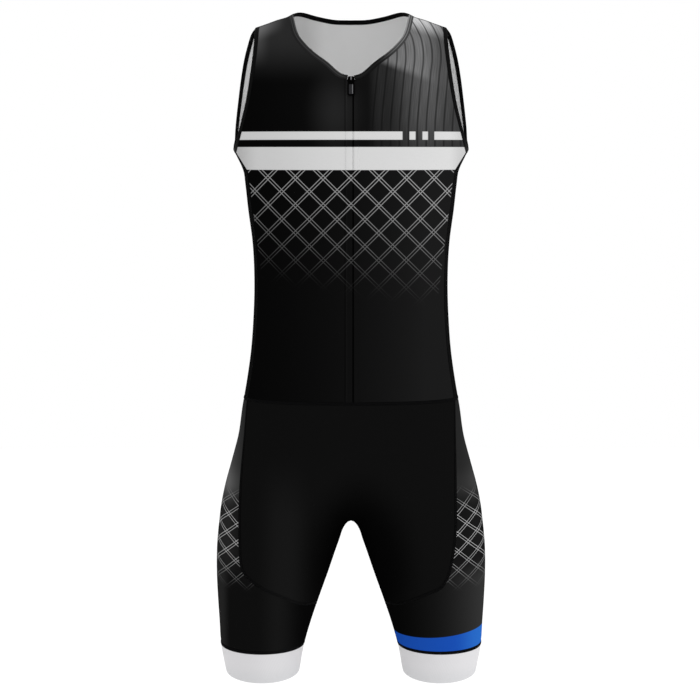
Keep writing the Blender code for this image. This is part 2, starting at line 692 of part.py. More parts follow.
def hard_piece(name, body, additions, cuts, frame, finish):
    """A named object from a body, with other shapes joined on and cut away."""
    mesh = bpy.data.meshes.new(name)
    body.to_mesh(mesh)
    mesh.materials.append(material(finish))
    made = bpy.data.objects.new(name, mesh)
    bpy.context.scene.collection.objects.link(made)
    for operation, shapes in (("UNION", additions), ("DIFFERENCE", cuts)):
        for number, shape in enumerate(shapes):
            tool_mesh = bpy.data.meshes.new(f"{name}_{operation.lower()}_{number}")
            shape.to_mesh(tool_mesh)
            tool = bpy.data.objects.new(tool_mesh.name, tool_mesh)
            tool.hide_render = True
            tool.display_type = "WIRE"
            tool.parent = made
            bpy.context.scene.collection.objects.link(tool)
            step = made.modifiers.new(tool_mesh.name, "BOOLEAN")
            step.operation = operation
            step.object = tool
            step.solver = "EXACT"
    made.matrix_world = frame @ Matrix.Scale(MM, 4)


def zip_slider(frame):
    """The slider: a waisted plate, two lugs and the pin that carries the pull."""
    body = plate(SLIDER_OUTLINE, 0.0, SLIDER_WALL)
    height = SLIDER_WALL + PIN_OUT
    lug_at = EYE_WIDTH / 2 + LUG_GAP + LUG_WALL / 2
    additions = []
    for way in (-1, 1):
        additions.append(rod(LUG_RADIUS, LUG_WALL, (way * lug_at, -PIN_DOWN, height)))
        foot = bmesh.new()
        bmesh.ops.create_cube(
            foot, size=1.0,
            matrix=Matrix.Translation((way * lug_at, -PIN_DOWN, (height + LUG_FOOT_SUNK) / 2))
            @ Matrix.Diagonal((LUG_WALL, LUG_FOOT_WIDTH, height - LUG_FOOT_SUNK, 1.0)),
        )
        additions.append(foot)
    additions.append(rod(PIN_RADIUS, 2 * (lug_at + PIN_PAST_LUG), (0, -PIN_DOWN, height)))
    hard_piece("zip_slider", body, additions, [], frame, "zip_metal")


def zip_pull(frame):
    """The pull tab: an eye round the slider's pin and a flat tab that hangs from it."""
    body = plate(PULL_OUTLINE, -PULL_WALL / 2, PULL_WALL / 2)
    eye = rod(EYE_RADIUS, EYE_WIDTH, (0, 0, 0))
    bore = rod(EYE_BORE, EYE_WIDTH + 2 * EYE_CUT_PAST, (0, 0, 0))
    pin = frame @ Matrix.Translation(Vector((0, -PIN_DOWN, SLIDER_WALL + PIN_OUT)) * MM)
    pin = pin @ Matrix.Rotation(math.radians(PULL_LEAN), 4, "X")
    hard_piece("zip_pull", body, [eye], [bore], pin, "zip_metal")


# ---- the garment ----------------------------------------------------------------------------------
def main():
    """Clears the scene and makes every piece."""
    for old in list(bpy.data.objects):
        bpy.data.objects.remove(old)
    sheet = Sheet()
    openings = []
    for side, sign in SIDES.items():
        trunk, chest = upper_front(side)
        for patch in (trunk, chest):
            sheet.add(f"front_{side}", patch, side)
        rows = np.concatenate([trunk[:, :2], chest[1 : CHEST_ROWS + 1, :2]])
        openings.append(form(rows[..., 0], rows[..., 1]) * np.array([sign, 1, 1]))
        for patch in upper_back():
            sheet.add("back", patch, side)
        for patch in shorts_half(side, FRONT):
            sheet.add("shorts_front", patch, side)
        for patch in shorts_half(side, BACK):
            sheet.add("shorts_back", patch, side)
        for patch in leg_patches(side):
            sheet.add(f"leg_{side}", patch, side)
        for patch in cuff_patch():
            sheet.add(f"cuff_{side}", patch, side)
    sheet.finish()
    for piece in sheet.cells:
        cloth(sheet, piece, "white_cuff" if piece.startswith("cuff") else "black_cloth")
    for side in SIDES:
        arm_binding(sheet, side)
    neck_binding(sheet)
    zip_tape(sheet, openings)
    frame = slider_frame()
    zip_slider(frame)
    zip_pull(frame)


main()
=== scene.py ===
"""Looks of a sleeveless triathlon suit: printed jersey, bindings, grippers, seams and front zip.

Metres in the frame of the solids: +Z up, the front faces -Y and +X is the wearer's left. The
cutter's tables are in millimetres. Every cloth piece lies on one body form. A place on the cloth
is given in the pattern plane by (turn, level): turn is the angle round a level section, -90
degrees at the front, 0 at the side, +90 at the back; level is the height, which on the shoulders
becomes the way along the cloth up to the shoulder seam.
"""

import logging
import math
from collections.abc import Iterator
from dataclasses import dataclass, field
from enum import Enum
from functools import cached_property

import bmesh
import bpy
import numpy as np
from bmesh.types import BMEdge, BMesh
from bpy.types import Material, NodeSocket, Object
from mathutils import Matrix, Vector

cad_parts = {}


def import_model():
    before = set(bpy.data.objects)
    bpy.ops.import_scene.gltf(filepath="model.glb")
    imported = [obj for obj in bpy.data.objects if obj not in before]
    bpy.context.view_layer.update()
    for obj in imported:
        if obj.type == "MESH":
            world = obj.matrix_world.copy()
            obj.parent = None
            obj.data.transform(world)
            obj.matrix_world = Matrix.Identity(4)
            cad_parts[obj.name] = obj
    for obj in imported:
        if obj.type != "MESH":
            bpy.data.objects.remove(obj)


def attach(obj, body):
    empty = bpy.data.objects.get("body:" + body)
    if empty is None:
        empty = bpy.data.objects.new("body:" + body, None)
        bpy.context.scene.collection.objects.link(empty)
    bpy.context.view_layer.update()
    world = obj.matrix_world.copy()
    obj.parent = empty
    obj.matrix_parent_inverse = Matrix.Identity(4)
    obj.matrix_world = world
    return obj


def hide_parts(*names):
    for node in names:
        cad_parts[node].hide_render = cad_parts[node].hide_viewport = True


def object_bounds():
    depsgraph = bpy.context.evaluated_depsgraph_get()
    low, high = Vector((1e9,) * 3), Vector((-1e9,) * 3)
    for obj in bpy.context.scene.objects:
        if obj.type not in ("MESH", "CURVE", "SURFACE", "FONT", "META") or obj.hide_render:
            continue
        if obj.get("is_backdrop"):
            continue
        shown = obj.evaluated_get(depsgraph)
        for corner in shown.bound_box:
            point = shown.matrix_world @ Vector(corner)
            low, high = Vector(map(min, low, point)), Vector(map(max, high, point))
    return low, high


log = logging.getLogger("triathlon_suit")

MM = 0.001
Array = np.ndarray
Pair = tuple[float, float]
Triple = tuple[float, float, float]
FINE = 4  # cells of the dressed cloth along each cell of the solid


class Side(Enum):
    """A side of the wearer; the value is the sign of X there."""

    RIGHT = -1
    LEFT = 1

    @property
    def word(self) -> str:
        """The side's name as the solids have it."""
        return self.name.lower()


class Face(Enum):
    """The front or the back of the form; the value is the sign of the turn there."""

    FRONT = -1
    BACK = 1


@dataclass(frozen=True)
class Section:
    """One level section of the form, in millimetres."""

    level: float
    outer: float
    inner: float
    middle: float
    front: float
    back: float
    power: float


@dataclass(frozen=True)
class Spot:
    """A place on the front or the back, across and up, in millimetres."""

    across: float
    height: float


SECTIONS = tuple(Section(*row) for row in (
    # level  outer  inner  middle  front  back  power
    (-960, 181, 76, 0, -57, 57, 2),
    (-945, 183.5, 73.7, 0, -60, 60, 2),
    (-906, 190.5, 66.3, 1, -66, 68, 2),
    (-875, 192.3, 56.9, 1, -71, 74, 2),
    (-841, 194.5, 44.4, 2, -76, 80, 2),
    (-800, 196.2, 28.1, 3, -82, 89, 2.05),
    (-759, 195.5, 12.6, 5, -86, 97, 2.1),
    (-727, 192.5, 0, 7, -89, 103, 2.15),
    (-700, 189, -21, 8, -90, 109, 2.2),
    (-675, 183.9, -56, 9, -90, 114, 2.25),
    (-640, 174.4, -109, 9, -91, 119, 2.3),
    (-600, 163.8, -152, 8, -94, 121, 2.3),
    (-560, 158, -158, 6, -97, 118, 2.35),
    (-520, 151, -151, 4, -97, 111, 2.35),
    (-480, 145.2, -145.2, 2, -96, 102, 2.35),
    (-430, 141.2, -141.2, 0, -95, 94, 2.35),
    (-380, 139.6, -139.6, 0, -97, 90, 2.35),
    (-320, 142, -142, 0, -103, 95, 2.4),
    (-274, 147.9, -147.9, 0, -108, 101, 2.45),
    (-231, 153, -153, 0, -112, 106, 2.5),
    (-215, 156, -156, 0, -112.5, 107.5, 2.5),
    (-188, 168, -168, 0, -112.5, 109, 2.5),
    (-150, 175, -175, 0, -112.5, 109, 2.5),
    (-90, 178, -178, 0, -112.5, 109, 2.5),
    (112, 178, -178, 0, -112.5, 109, 2.5),
))


def smooth(marks: Array, values: Array, at: Array) -> Array:
    """Reads a table at any mark along a curve without kinks through its rows.

    Args:
        marks: The rows' marks, rising.
        values: The rows' values.
        at: The marks to read at.

    Returns:
        The values there.
    """
    marks = np.asarray(marks, float)
    values = np.asarray(values, float)
    slopes = np.gradient(values, marks)
    row = np.clip(np.searchsorted(marks, at) - 1, 0, len(marks) - 2)
    span = marks[row + 1] - marks[row]
    part = np.clip((at - marks[row]) / span, 0.0, 1.0)
    rest = 1.0 - part
    return (
        (1 + 2 * part) * rest**2 * values[row]
        + part * rest**2 * span * slopes[row]
        + (3 - 2 * part) * part**2 * values[row + 1]
        - rest * part**2 * span * slopes[row + 1]
    )


@dataclass(frozen=True)
class BodyForm:
    """The filled-out form that the cloth lies on, in millimetres."""

    sections: tuple[Section, ...] = SECTIONS
    shoulder_line: tuple[Spot, ...] = (
        Spot(0, 30), Spot(40, 24), Spot(75, 11.6), Spot(89, 2.3), Spot(106, -3.2), Spot(118, -7.6),
        Spot(132, -12.5), Spot(180, -29),
    )
    armpit_level: float = -188.0
    shoulder_length: float = 300.0
    split_level: float = -560.0
    waist: float = -545.0
    crotch_round: float = 18.0
    crotch_reach: float = 30.0
    crotch_fade: float = 60.0  # the height over which the rounding comes in
    rounding_steps: int = 20
    frame_step: float = 2.0
    front_cap_power: float = 1.65
    back_cap_power: float = 2.0

    def section(self, level: Array) -> Section:
        """The section's numbers at each level, smoothed between the table's rows.

        Args:
            level: Heights.

        Returns:
            A section whose numbers are arrays.
        """
        marks = [row.level for row in self.sections]
        names = ("outer", "inner", "middle", "front", "back", "power")
        columns = {n: smooth(marks, [getattr(row, n) for row in self.sections], level) for n in names}
        columns["inner"] = np.where(level > self.split_level, -columns["outer"], columns["inner"])
        return Section(level=level, **columns)

    def softness(self, level: Array) -> Array:
        """How far the crease between the legs is rounded at each level."""
        part = np.clip((self.split_level - level) / self.crotch_fade, 0.0, 1.0)
        return self.crotch_round * part * part * (3 - 2 * part)

    def rounded(self, raw: Array, level: Array) -> Array:
        """Moves the cloth near the middle out, so that the legs join in a round.

        Args:
            raw: Distances from the middle.
            level: Heights.

        Returns:
            The distances after rounding.
        """
        soft = self.softness(level)
        flat = np.maximum(raw, 0.0)
        across = flat
        for _ in range(self.rounding_steps):
            pull = 4 * flat * soft * np.exp(-across / self.crotch_reach)
            across = (flat + np.sqrt(flat**2 + pull)) / 2
        return np.where(raw < 0, raw, across)

    def unrounded(self, across: Array, level: Array) -> Array:
        """The reverse of rounded."""
        size = np.abs(across)
        return across * size / (size + self.softness(level) * np.exp(-size / self.crotch_reach) + 1e-9)

    def shoulder_height(self, across: Array) -> Array:
        """Height of the top of the form over each place across."""
        marks = [spot.across for spot in self.shoulder_line]
        return smooth(marks, [spot.height for spot in self.shoulder_line], np.abs(across))

    def at(self, turn: Array, level: Array) -> Array:
        """Points of the form's left half.

        Args:
            turn: Degrees round the section.
            level: Heights, in millimetres.

        Returns:
            Points in millimetres, in a last axis of three.
        """
        turn, level = np.broadcast_arrays(np.asarray(turn, float), np.asarray(level, float))
        cut = self.section(level)
        angle = np.radians(turn)
        bent = 2.0 / cut.power
        half = (cut.outer - cut.inner) / 2
        side = np.sign(np.cos(angle)) * np.abs(np.cos(angle)) ** bent
        reach = np.sign(np.sin(angle)) * np.abs(np.sin(angle)) ** bent
        across = self.rounded((cut.outer + cut.inner) / 2 + half * side, level)
        depth = np.where(reach < 0, cut.middle - cut.front, cut.back - cut.middle)
        climb = np.clip((level - self.armpit_level) / self.shoulder_length, 0.0, 1.0)
        rise = np.sin(climb * math.pi / 2)
        cap = np.where(reach < 0, self.front_cap_power, self.back_cap_power)
        lean = np.maximum(1.0 - rise**cap, 0.0) ** (1.0 / cap)
        lifted = self.armpit_level + (self.shoulder_height(across) - self.armpit_level) * rise
        height = np.where(level > self.armpit_level, lifted, level)
        return np.stack([across, cut.middle + depth * reach * lean, height], axis=-1)

    def place(self, across: Array, height: Array, face: Face) -> Array:
        """The place in the pattern plane of spots on one face.

        Args:
            across: Distances from the middle.
            height: Heights.
            face: The front or the back.

        Returns:
            Pairs of turn and level.
        """
        across, height = np.broadcast_arrays(np.asarray(across, float), np.asarray(height, float))
        full = self.shoulder_height(across) - self.armpit_level
        rise = np.clip((height - self.armpit_level) / full, 0.0, 1.0)
        climb = self.armpit_level + self.shoulder_length * np.arcsin(rise) / (math.pi / 2)
        level = np.where(height > self.armpit_level, climb, height)
        cut = self.section(level)
        half = (cut.outer - cut.inner) / 2
        part = (self.unrounded(across, level) - (cut.outer + cut.inner) / 2) / half
        part = np.clip(part, -1.0, 1.0)
        bent = np.sign(part) * np.abs(part) ** (cut.power / 2)
        return np.stack([face.value * np.degrees(np.arccos(bent)), level], axis=-1)

    def front_frame(self, across: float, heights: Array) -> tuple[Array, Array]:
        """Points and outward directions down a line on the front, on either side of the middle.

        Args:
            across: Distance from the middle, with its sign.
            heights: Heights down the line.

        Returns:
            The points and the directions.
        """
        sign = 1.0 if across >= 0 else -1.0
        step = self.frame_step
        flip = np.array([sign, 1.0, 1.0])
        near = self.place(abs(across), heights, Face.FRONT)
        far = self.place(abs(across) + step, heights, Face.FRONT)
        high = self.place(abs(across), heights + step, Face.FRONT)
        here, beside, above = (self.at(p[:, 0], p[:, 1]) * flip for p in (near, far, high))
        out = np.cross(beside - here, above - here) * sign
        return here, out / np.linalg.norm(out, axis=1)[:, None]


@dataclass(frozen=True)
class Pattern:
    """The cutter's pattern: the seams, in millimetres, and the patches between them."""

    form: BodyForm
    armhole_bottom: float = -192.0
    yoke_level: float = -165.0
    neck_point: Spot = Spot(2, -91)
    zip_across: float = 2.0
    fork_front: float = -675.0
    fork_back: float = -668.0
    crotch: float = -727.0
    thigh_seam_inside: float = -850.0
    cuff_seam: Pair = (-905.5, 3.5)
    hem: Pair = (-946.5, 8.5)
    shoulder_seam: Pair = (89.0, 132.0)
    front_neck: tuple[Spot, ...] = (
        Spot(17.5, -86.3), Spot(37.3, -69.5), Spot(54.9, -56.4), Spot(70.4, -41.5),
        Spot(81.1, -25.5), Spot(89, 2.3),
    )
    back_neck: tuple[Spot, ...] = (
        Spot(0, -5), Spot(25, -4.4), Spot(50, 0), Spot(74, 5.4), Spot(89, 2.3),
    )
    front_arm: tuple[Spot, ...] = (
        Spot(157.8, -172), Spot(149.2, -141.4), Spot(143.5, -117.3), Spot(139.4, -93.2),
        Spot(136.1, -68.7), Spot(133.3, -41.1), Spot(132, -12.5),
    )
    back_arm: tuple[Spot, ...] = (
        Spot(166.6, -176), Spot(165.8, -160), Spot(163.8, -140), Spot(161, -118),
        Spot(157, -90), Spot(151.4, -60), Spot(144.6, -36), Spot(138.8, -21),
        Spot(132, -12.5),
    )
    side_seam: tuple[Spot, ...] = (
        Spot(149.3, -545), Spot(139.6, -480), Spot(134.2, -400), Spot(136.5, -320),
        Spot(147.5, -231), Spot(152.6, -212), Spot(165.5, -192),
    )
    hip_seam_right: tuple[Spot, ...] = (
        Spot(149.3, -545), Spot(155, -617), Spot(158.5, -668), Spot(159.5, -733),
        Spot(157.5, -779), Spot(150, -795.5),
    )
    hip_seam_left: tuple[Spot, ...] = (
        Spot(149.3, -545), Spot(149.6, -617), Spot(149.4, -675), Spot(149, -731),
        Spot(144, -772), Spot(138, -797),
    )
    hip_seam_back: tuple[Spot, ...] = (
        Spot(149.3, -545), Spot(152, -617), Spot(154, -668), Spot(154, -733), Spot(151, -780),
        Spot(144, -797),
    )
    thigh_seam_spots: tuple[Spot, ...] = (
        Spot(127.5, -811.5), Spot(109.5, -819.8), Spot(93, -827.6), Spot(80, -834.5), Spot(64, -841),
    )
    shoulder_cells: int = 5 * FINE
    neck_cells: int = 4 * FINE
    front_armpit_cells: int = 2 * FINE
    back_armpit_cells: int = 4 * FINE
    hip_cells: int = 6 * FINE
    half_cells: int = 7 * FINE
    inner_cells: int = 4 * FINE
    upper_rows: int = 17 * FINE
    chest_rows: int = 4 * FINE
    neck_rows: int = 7 * FINE
    seat_rows: int = 6 * FINE
    thigh_rows: int = 8 * FINE
    shin_rows: int = 3 * FINE
    cuff_rows: int = 2 * FINE

    def drawn(self, spots: tuple[Spot, ...], face: Face, detail: int = 80) -> Array:
        """A smooth edge through spots on one face, in the pattern plane.

        Args:
            spots: The spots, in order.
            face: The front or the back.
            detail: How many places to read.

        Returns:
            Pairs of turn and level.
        """
        marks = np.arange(len(spots), dtype=float)
        at = np.linspace(0, len(spots) - 1, detail)
        across = smooth(marks, [spot.across for spot in spots], at)
        height = smooth(marks, [spot.height for spot in spots], at)
        return self.form.place(across, height, face)

    def middle_line(self, low: float, high: float, face: Face, across: float = 0.0) -> Array:
        """A line up the middle of one face between two heights."""
        return self.form.place(across, np.linspace(low, high, 120), face)

    def spaced(self, edge: Array, cells: int) -> Array:
        """An edge cut into cells of equal length on the cloth.

        Args:
            edge: The edge.
            cells: How many cells.

        Returns:
            The ends of the cells.
        """
        steps = np.linalg.norm(np.diff(self.form.at(edge[:, 0], edge[:, 1]), axis=0), axis=1)
        run = np.concatenate([[0.0], np.cumsum(steps)])
        marks = np.linspace(0.0, run[-1], cells + 1)
        return np.stack([np.interp(marks, run, edge[:, 0]), np.interp(marks, run, edge[:, 1])], axis=-1)

    def shoulder_edge(self, face: Face) -> Array:
        """The shoulder seam, along the top of the form from the neck outwards.

        Args:
            face: The front or the back.

        Returns:
            The seam.
        """
        across = np.linspace(*self.shoulder_seam, 40)
        height = self.form.shoulder_height(across)
        return self.spaced(self.form.place(across, height, face), self.shoulder_cells)

    def armpit_edge(self, corner: Array, lowest: Array) -> Array:
        """The round bottom of the armhole, from its corner to the side seam.

        Args:
            corner: Where the straight part of the armhole ends.
            lowest: The top of the side seam.

        Returns:
            The edge.
        """
        part = np.linspace(math.pi / 4, math.pi / 2, 60)
        turn = lowest[0] + (corner[0] - lowest[0]) * np.cos(part) / np.cos(part[0])
        level = lowest[1] + (corner[1] - lowest[1]) * (1 - np.sin(part)) / (1 - np.sin(part[0]))
        return np.stack([turn, level], axis=-1)

    def upper_front(self, side: Side) -> list[Array]:
        """Patches of one upper front: the trunk, and the chest up to the shoulder.

        Args:
            side: The wearer's side.

        Returns:
            The patches.
        """
        lead = self.zip_across * side.value
        low, high, neck = self.form.waist, self.yoke_level, self.neck_point.height
        arm = self.drawn(self.front_arm, Face.FRONT)
        seam = self.spaced(self.drawn(self.side_seam, Face.FRONT), self.upper_rows)
        opening = self.spaced(self.middle_line(low, high, Face.FRONT, lead), self.upper_rows)
        waist = self.spaced(straight(opening[0], seam[0]), self.half_cells)
        yoke = self.spaced(straight(opening[-1], arm[0]), self.shoulder_cells)
        armpit = self.spaced(self.armpit_edge(yoke[-1], seam[-1]), self.front_armpit_cells)
        trunk = filled(waist, joined(yoke, armpit), opening, seam)
        chest = self.spaced(self.middle_line(high, neck, Face.FRONT, lead), self.chest_rows)
        neckline = self.drawn((Spot(lead, neck),) + self.front_neck, Face.FRONT)
        inside = joined(chest, self.spaced(neckline, self.neck_rows))
        outside = self.spaced(arm, self.chest_rows + self.neck_rows)
        return [trunk, filled(yoke, self.shoulder_edge(Face.FRONT), inside, outside)]

    def upper_back(self) -> list[Array]:
        """Patches of one half of the back, from the side seam round to the centre.

        Returns:
            The patches.
        """
        seam = self.spaced(self.drawn(self.side_seam, Face.FRONT), self.upper_rows)
        centre = self.middle_line(self.form.waist, self.yoke_level, Face.BACK)
        centre = self.spaced(centre, self.upper_rows)
        armhole = self.drawn(self.back_arm, Face.BACK)
        waist = joined(self.waist_edge_hip(), self.waist_edge_seat()[::-1])
        corner = self.armpit_edge(armhole[0], seam[-1])[::-1]
        armpit = self.spaced(corner, self.back_armpit_cells)
        yoke = self.spaced(straight(armhole[0], centre[-1]), self.shoulder_cells + self.neck_cells)
        trunk = filled(waist, joined(armpit, yoke), seam, centre)
        rows = self.chest_rows + self.neck_rows
        nape = self.middle_line(self.yoke_level, self.back_neck[0].height, Face.BACK)
        neckline = self.spaced(self.drawn(self.back_neck, Face.BACK), self.neck_cells)[::-1]
        top = joined(self.shoulder_edge(Face.BACK)[::-1], neckline)
        return [trunk, filled(yoke, top, self.spaced(armhole, rows), self.spaced(nape, rows))]

    def waist_edge_hip(self) -> Array:
        """Waist edge of the hip panel, from its front seam round the side to its back seam."""
        corners = (self.form.place(self.side_seam[0].across, self.form.waist, face) for face in Face)
        return self.spaced(straight(*corners), self.hip_cells)

    def waist_edge_seat(self) -> Array:
        """Waist edge of one half of the seat, from the centre back to the hip panel."""
        centre = self.form.place(0.0, self.form.waist, Face.BACK)
        return self.spaced(straight(centre, self.waist_edge_hip()[-1]), self.half_cells)

    def hip_spots(self, side: Side, face: Face) -> tuple[Spot, ...]:
        """The hip panel's seam on one side and one face."""
        front = self.hip_seam_right if side is Side.RIGHT else self.hip_seam_left
        return front if face is Face.FRONT else self.hip_seam_back

    def hip_seam(self, side: Side, face: Face) -> tuple[Array, Array]:
        """One seam of the hip panel, cut into the rows of the seat and of the thigh.

        Args:
            side: The wearer's side.
            face: The front or the back.

        Returns:
            The part along the seat, and the part along the thigh.
        """
        line = self.drawn(self.hip_spots(side, face), face)
        level = self.fork_front if face is Face.FRONT else self.fork_back
        fork = np.argmin(np.abs(line[:, 1] - level))
        return self.spaced(line[: fork + 1], self.seat_rows), self.spaced(line[fork:], self.thigh_rows)

    def thigh_seam(self, side: Side, face: Face) -> Array:
        """The curved seam across the thigh, from the inner leg out to the hip panel.

        Args:
            side: The wearer's side.
            face: The front or the back.

        Returns:
            The seam.
        """
        spots = (self.hip_spots(side, face)[-1],) + self.thigh_seam_spots
        line = self.drawn(spots, face)[::-1]
        inner = np.array([face.value * 180.0, self.thigh_seam_inside])
        start = line[0]
        part = np.linspace(0.0, 1.0, 30)[:-1, None]
        reach = inner * (1 - part) + start * part
        climb = 1 - (1 - part[:, 0]) ** 2
        reach[:, 1] = self.thigh_seam_inside + (start[1] - self.thigh_seam_inside) * climb
        return self.spaced(np.concatenate([reach, line]), self.inner_cells + self.half_cells)

    def shorts_half(self, side: Side, face: Face) -> list[Array]:
        """Patches of one thigh of the shorts, front or back: the seat, and below the fork.

        Args:
            side: The wearer's side.
            face: The front or the back.

        Returns:
            The patches.
        """
        seat_seam, thigh_side = self.hip_seam(side, face)
        fork = self.fork_front if face is Face.FRONT else self.fork_back
        centre = self.spaced(self.middle_line(self.form.waist, fork, face), self.seat_rows)
        fork_row = self.spaced(straight(centre[-1], seat_seam[-1]), self.half_cells)
        waist = self.waist_edge_seat()
        if face is Face.FRONT:
            waist = self.spaced(straight(centre[0], seat_seam[0]), self.half_cells)
        seat = filled(waist, fork_row, centre, seat_seam)
        near = fork + (self.crotch - fork) * (1 - (1 - np.linspace(0.0, 1.0, 200)) ** 2)
        under = self.form.place(0.0, near, face)
        under[-1] = (face.value * 180.0, self.crotch)
        crotch = self.spaced(under[::-1], self.inner_cells)
        inside = face.value * 180.0
        inner = straight((inside, self.crotch), (inside, self.thigh_seam_inside))
        inner = self.spaced(inner, self.thigh_rows)
        thigh = filled(joined(crotch, fork_row), self.thigh_seam(side, face), inner, thigh_side)
        return [seat, thigh]

    def leg_patches(self, side: Side) -> list[Array]:
        """Patches of one leg panel: the hip, the outer thigh, and the tube above the cuff.

        Args:
            side: The wearer's side.

        Returns:
            The patches.
        """
        front_seat, front_thigh = self.hip_seam(side, Face.FRONT)
        back_seat, back_thigh = self.hip_seam(side, Face.BACK)
        fork = self.spaced(straight(front_seat[-1], back_seat[-1]), self.hip_cells)
        low = self.spaced(straight(front_thigh[-1], back_thigh[-1]), self.hip_cells)
        hip = filled(self.waist_edge_hip(), fork, front_seat, back_seat)
        outer = filled(fork, low, front_thigh, back_thigh)
        front, back = self.thigh_seam(side, Face.FRONT), self.thigh_seam(side, Face.BACK)[::-1]
        top, bottom = joined(front, low, back), self.seam_ring(self.cuff_seam)
        return [hip, outer, self.tube(top, bottom, self.shin_rows)]

    def seam_ring(self, seam: Pair) -> Array:
        """A seam all round the leg, from the inner leg over the front, the side and the back.

        Args:
            seam: Its level, and how much it rises to the back and falls to the front.

        Returns:
            The seam.
        """
        level, dip = seam
        turn = np.linspace(-180.0, 180.0, 361)
        cells = 2 * (self.inner_cells + self.half_cells) + self.hip_cells
        ring = np.stack([turn, level + dip * np.sin(np.radians(turn))], axis=-1)
        return self.spaced(ring, cells)

    def tube(self, top: Array, bottom: Array, rows: int) -> Array:
        """The patch between two seams round the leg."""
        sides = (self.spaced(straight(top[end], bottom[end]), rows) for end in (0, -1))
        return filled(top, bottom, *sides)

    def cuff_patch(self) -> list[Array]:
        """The cuff, from its seam down to the hem."""
        return [self.tube(self.seam_ring(self.cuff_seam), self.seam_ring(self.hem), self.cuff_rows)]


def straight(start: Array, end: Array, detail: int = 80) -> Array:
    """A straight edge in the pattern plane."""
    part = np.linspace(0.0, 1.0, detail)[:, None]
    return np.asarray(start) * (1 - part) + np.asarray(end) * part


def joined(*edges: Array) -> Array:
    """Edges end to end; each starts where the last one stops."""
    return np.concatenate([edges[0]] + [edge[1:] for edge in edges[1:]])


def filled(bottom: Array, top: Array, left: Array, right: Array) -> Array:
    """A grid of places between four edges, blended from all of them.

    Args:
        bottom: The lower edge.
        top: The upper edge.
        left: The first side.
        right: The other side.

    Returns:
        Rows of places.
    """
    u = np.linspace(0, 1, len(bottom))[None, :, None]
    v = np.linspace(0, 1, len(left))[:, None, None]
    across = left[:, None] * (1 - u) + right[:, None] * u
    along = bottom[None] * (1 - v) + top[None] * v
    corners = (
        bottom[0] * (1 - u) * (1 - v) + bottom[-1] * u * (1 - v) + top[0] * (1 - u) * v + top[-1] * u * v
    )
    return across + along - corners


# ---- finishes -----------------------------------------------------------------------------------
TIMES, PLUS, LESS, TIMES_PLUS = "Math.MULTIPLY", "Math.ADD", "Math.SUBTRACT", "Math.MULTIPLY_ADD"
SIZE, RAMP, MIX = "Math.ABSOLUTE", "MapRange.SMOOTHSTEP", "Mix.RGBA"
MODE_OF = {
    "Math": "operation", "VectorMath": "operation", "MapRange": "interpolation_type", "Mix": "data_type",
}


def linear(shade: str) -> tuple[float, float, float, float]:
    """An sRGB hex colour as linear light.

    Args:
        shade: The colour, such as #c7c7c7.

    Returns:
        Red, green and blue, and full alpha.
    """
    parts = [int(shade[i : i + 2], 16) / 255 for i in (1, 3, 5)]
    red, green, blue = (p / 12.92 if p <= 0.04045 else ((p + 0.055) / 1.055) ** 2.4 for p in parts)
    return red, green, blue, 1.0


@dataclass(frozen=True)
class Fade:
    """A change of an amount between two places, in millimetres."""

    start: float
    end: float
    first: float = 0.0
    last: float = 1.0

    def __iter__(self) -> Iterator[float]:
        """The places in metres and the amounts there, as a range node takes them."""
        return iter((self.start * MM, self.end * MM, self.first, self.last))


@dataclass(frozen=True)
class Stripe:
    """A stripe between two places, with soft edges, in millimetres."""

    low: float
    high: float
    soft: float = 0.3

    def __iter__(self) -> Iterator[float]:
        """Its places and its softness in metres."""
        return iter((self.low * MM, self.high * MM, self.soft * MM))


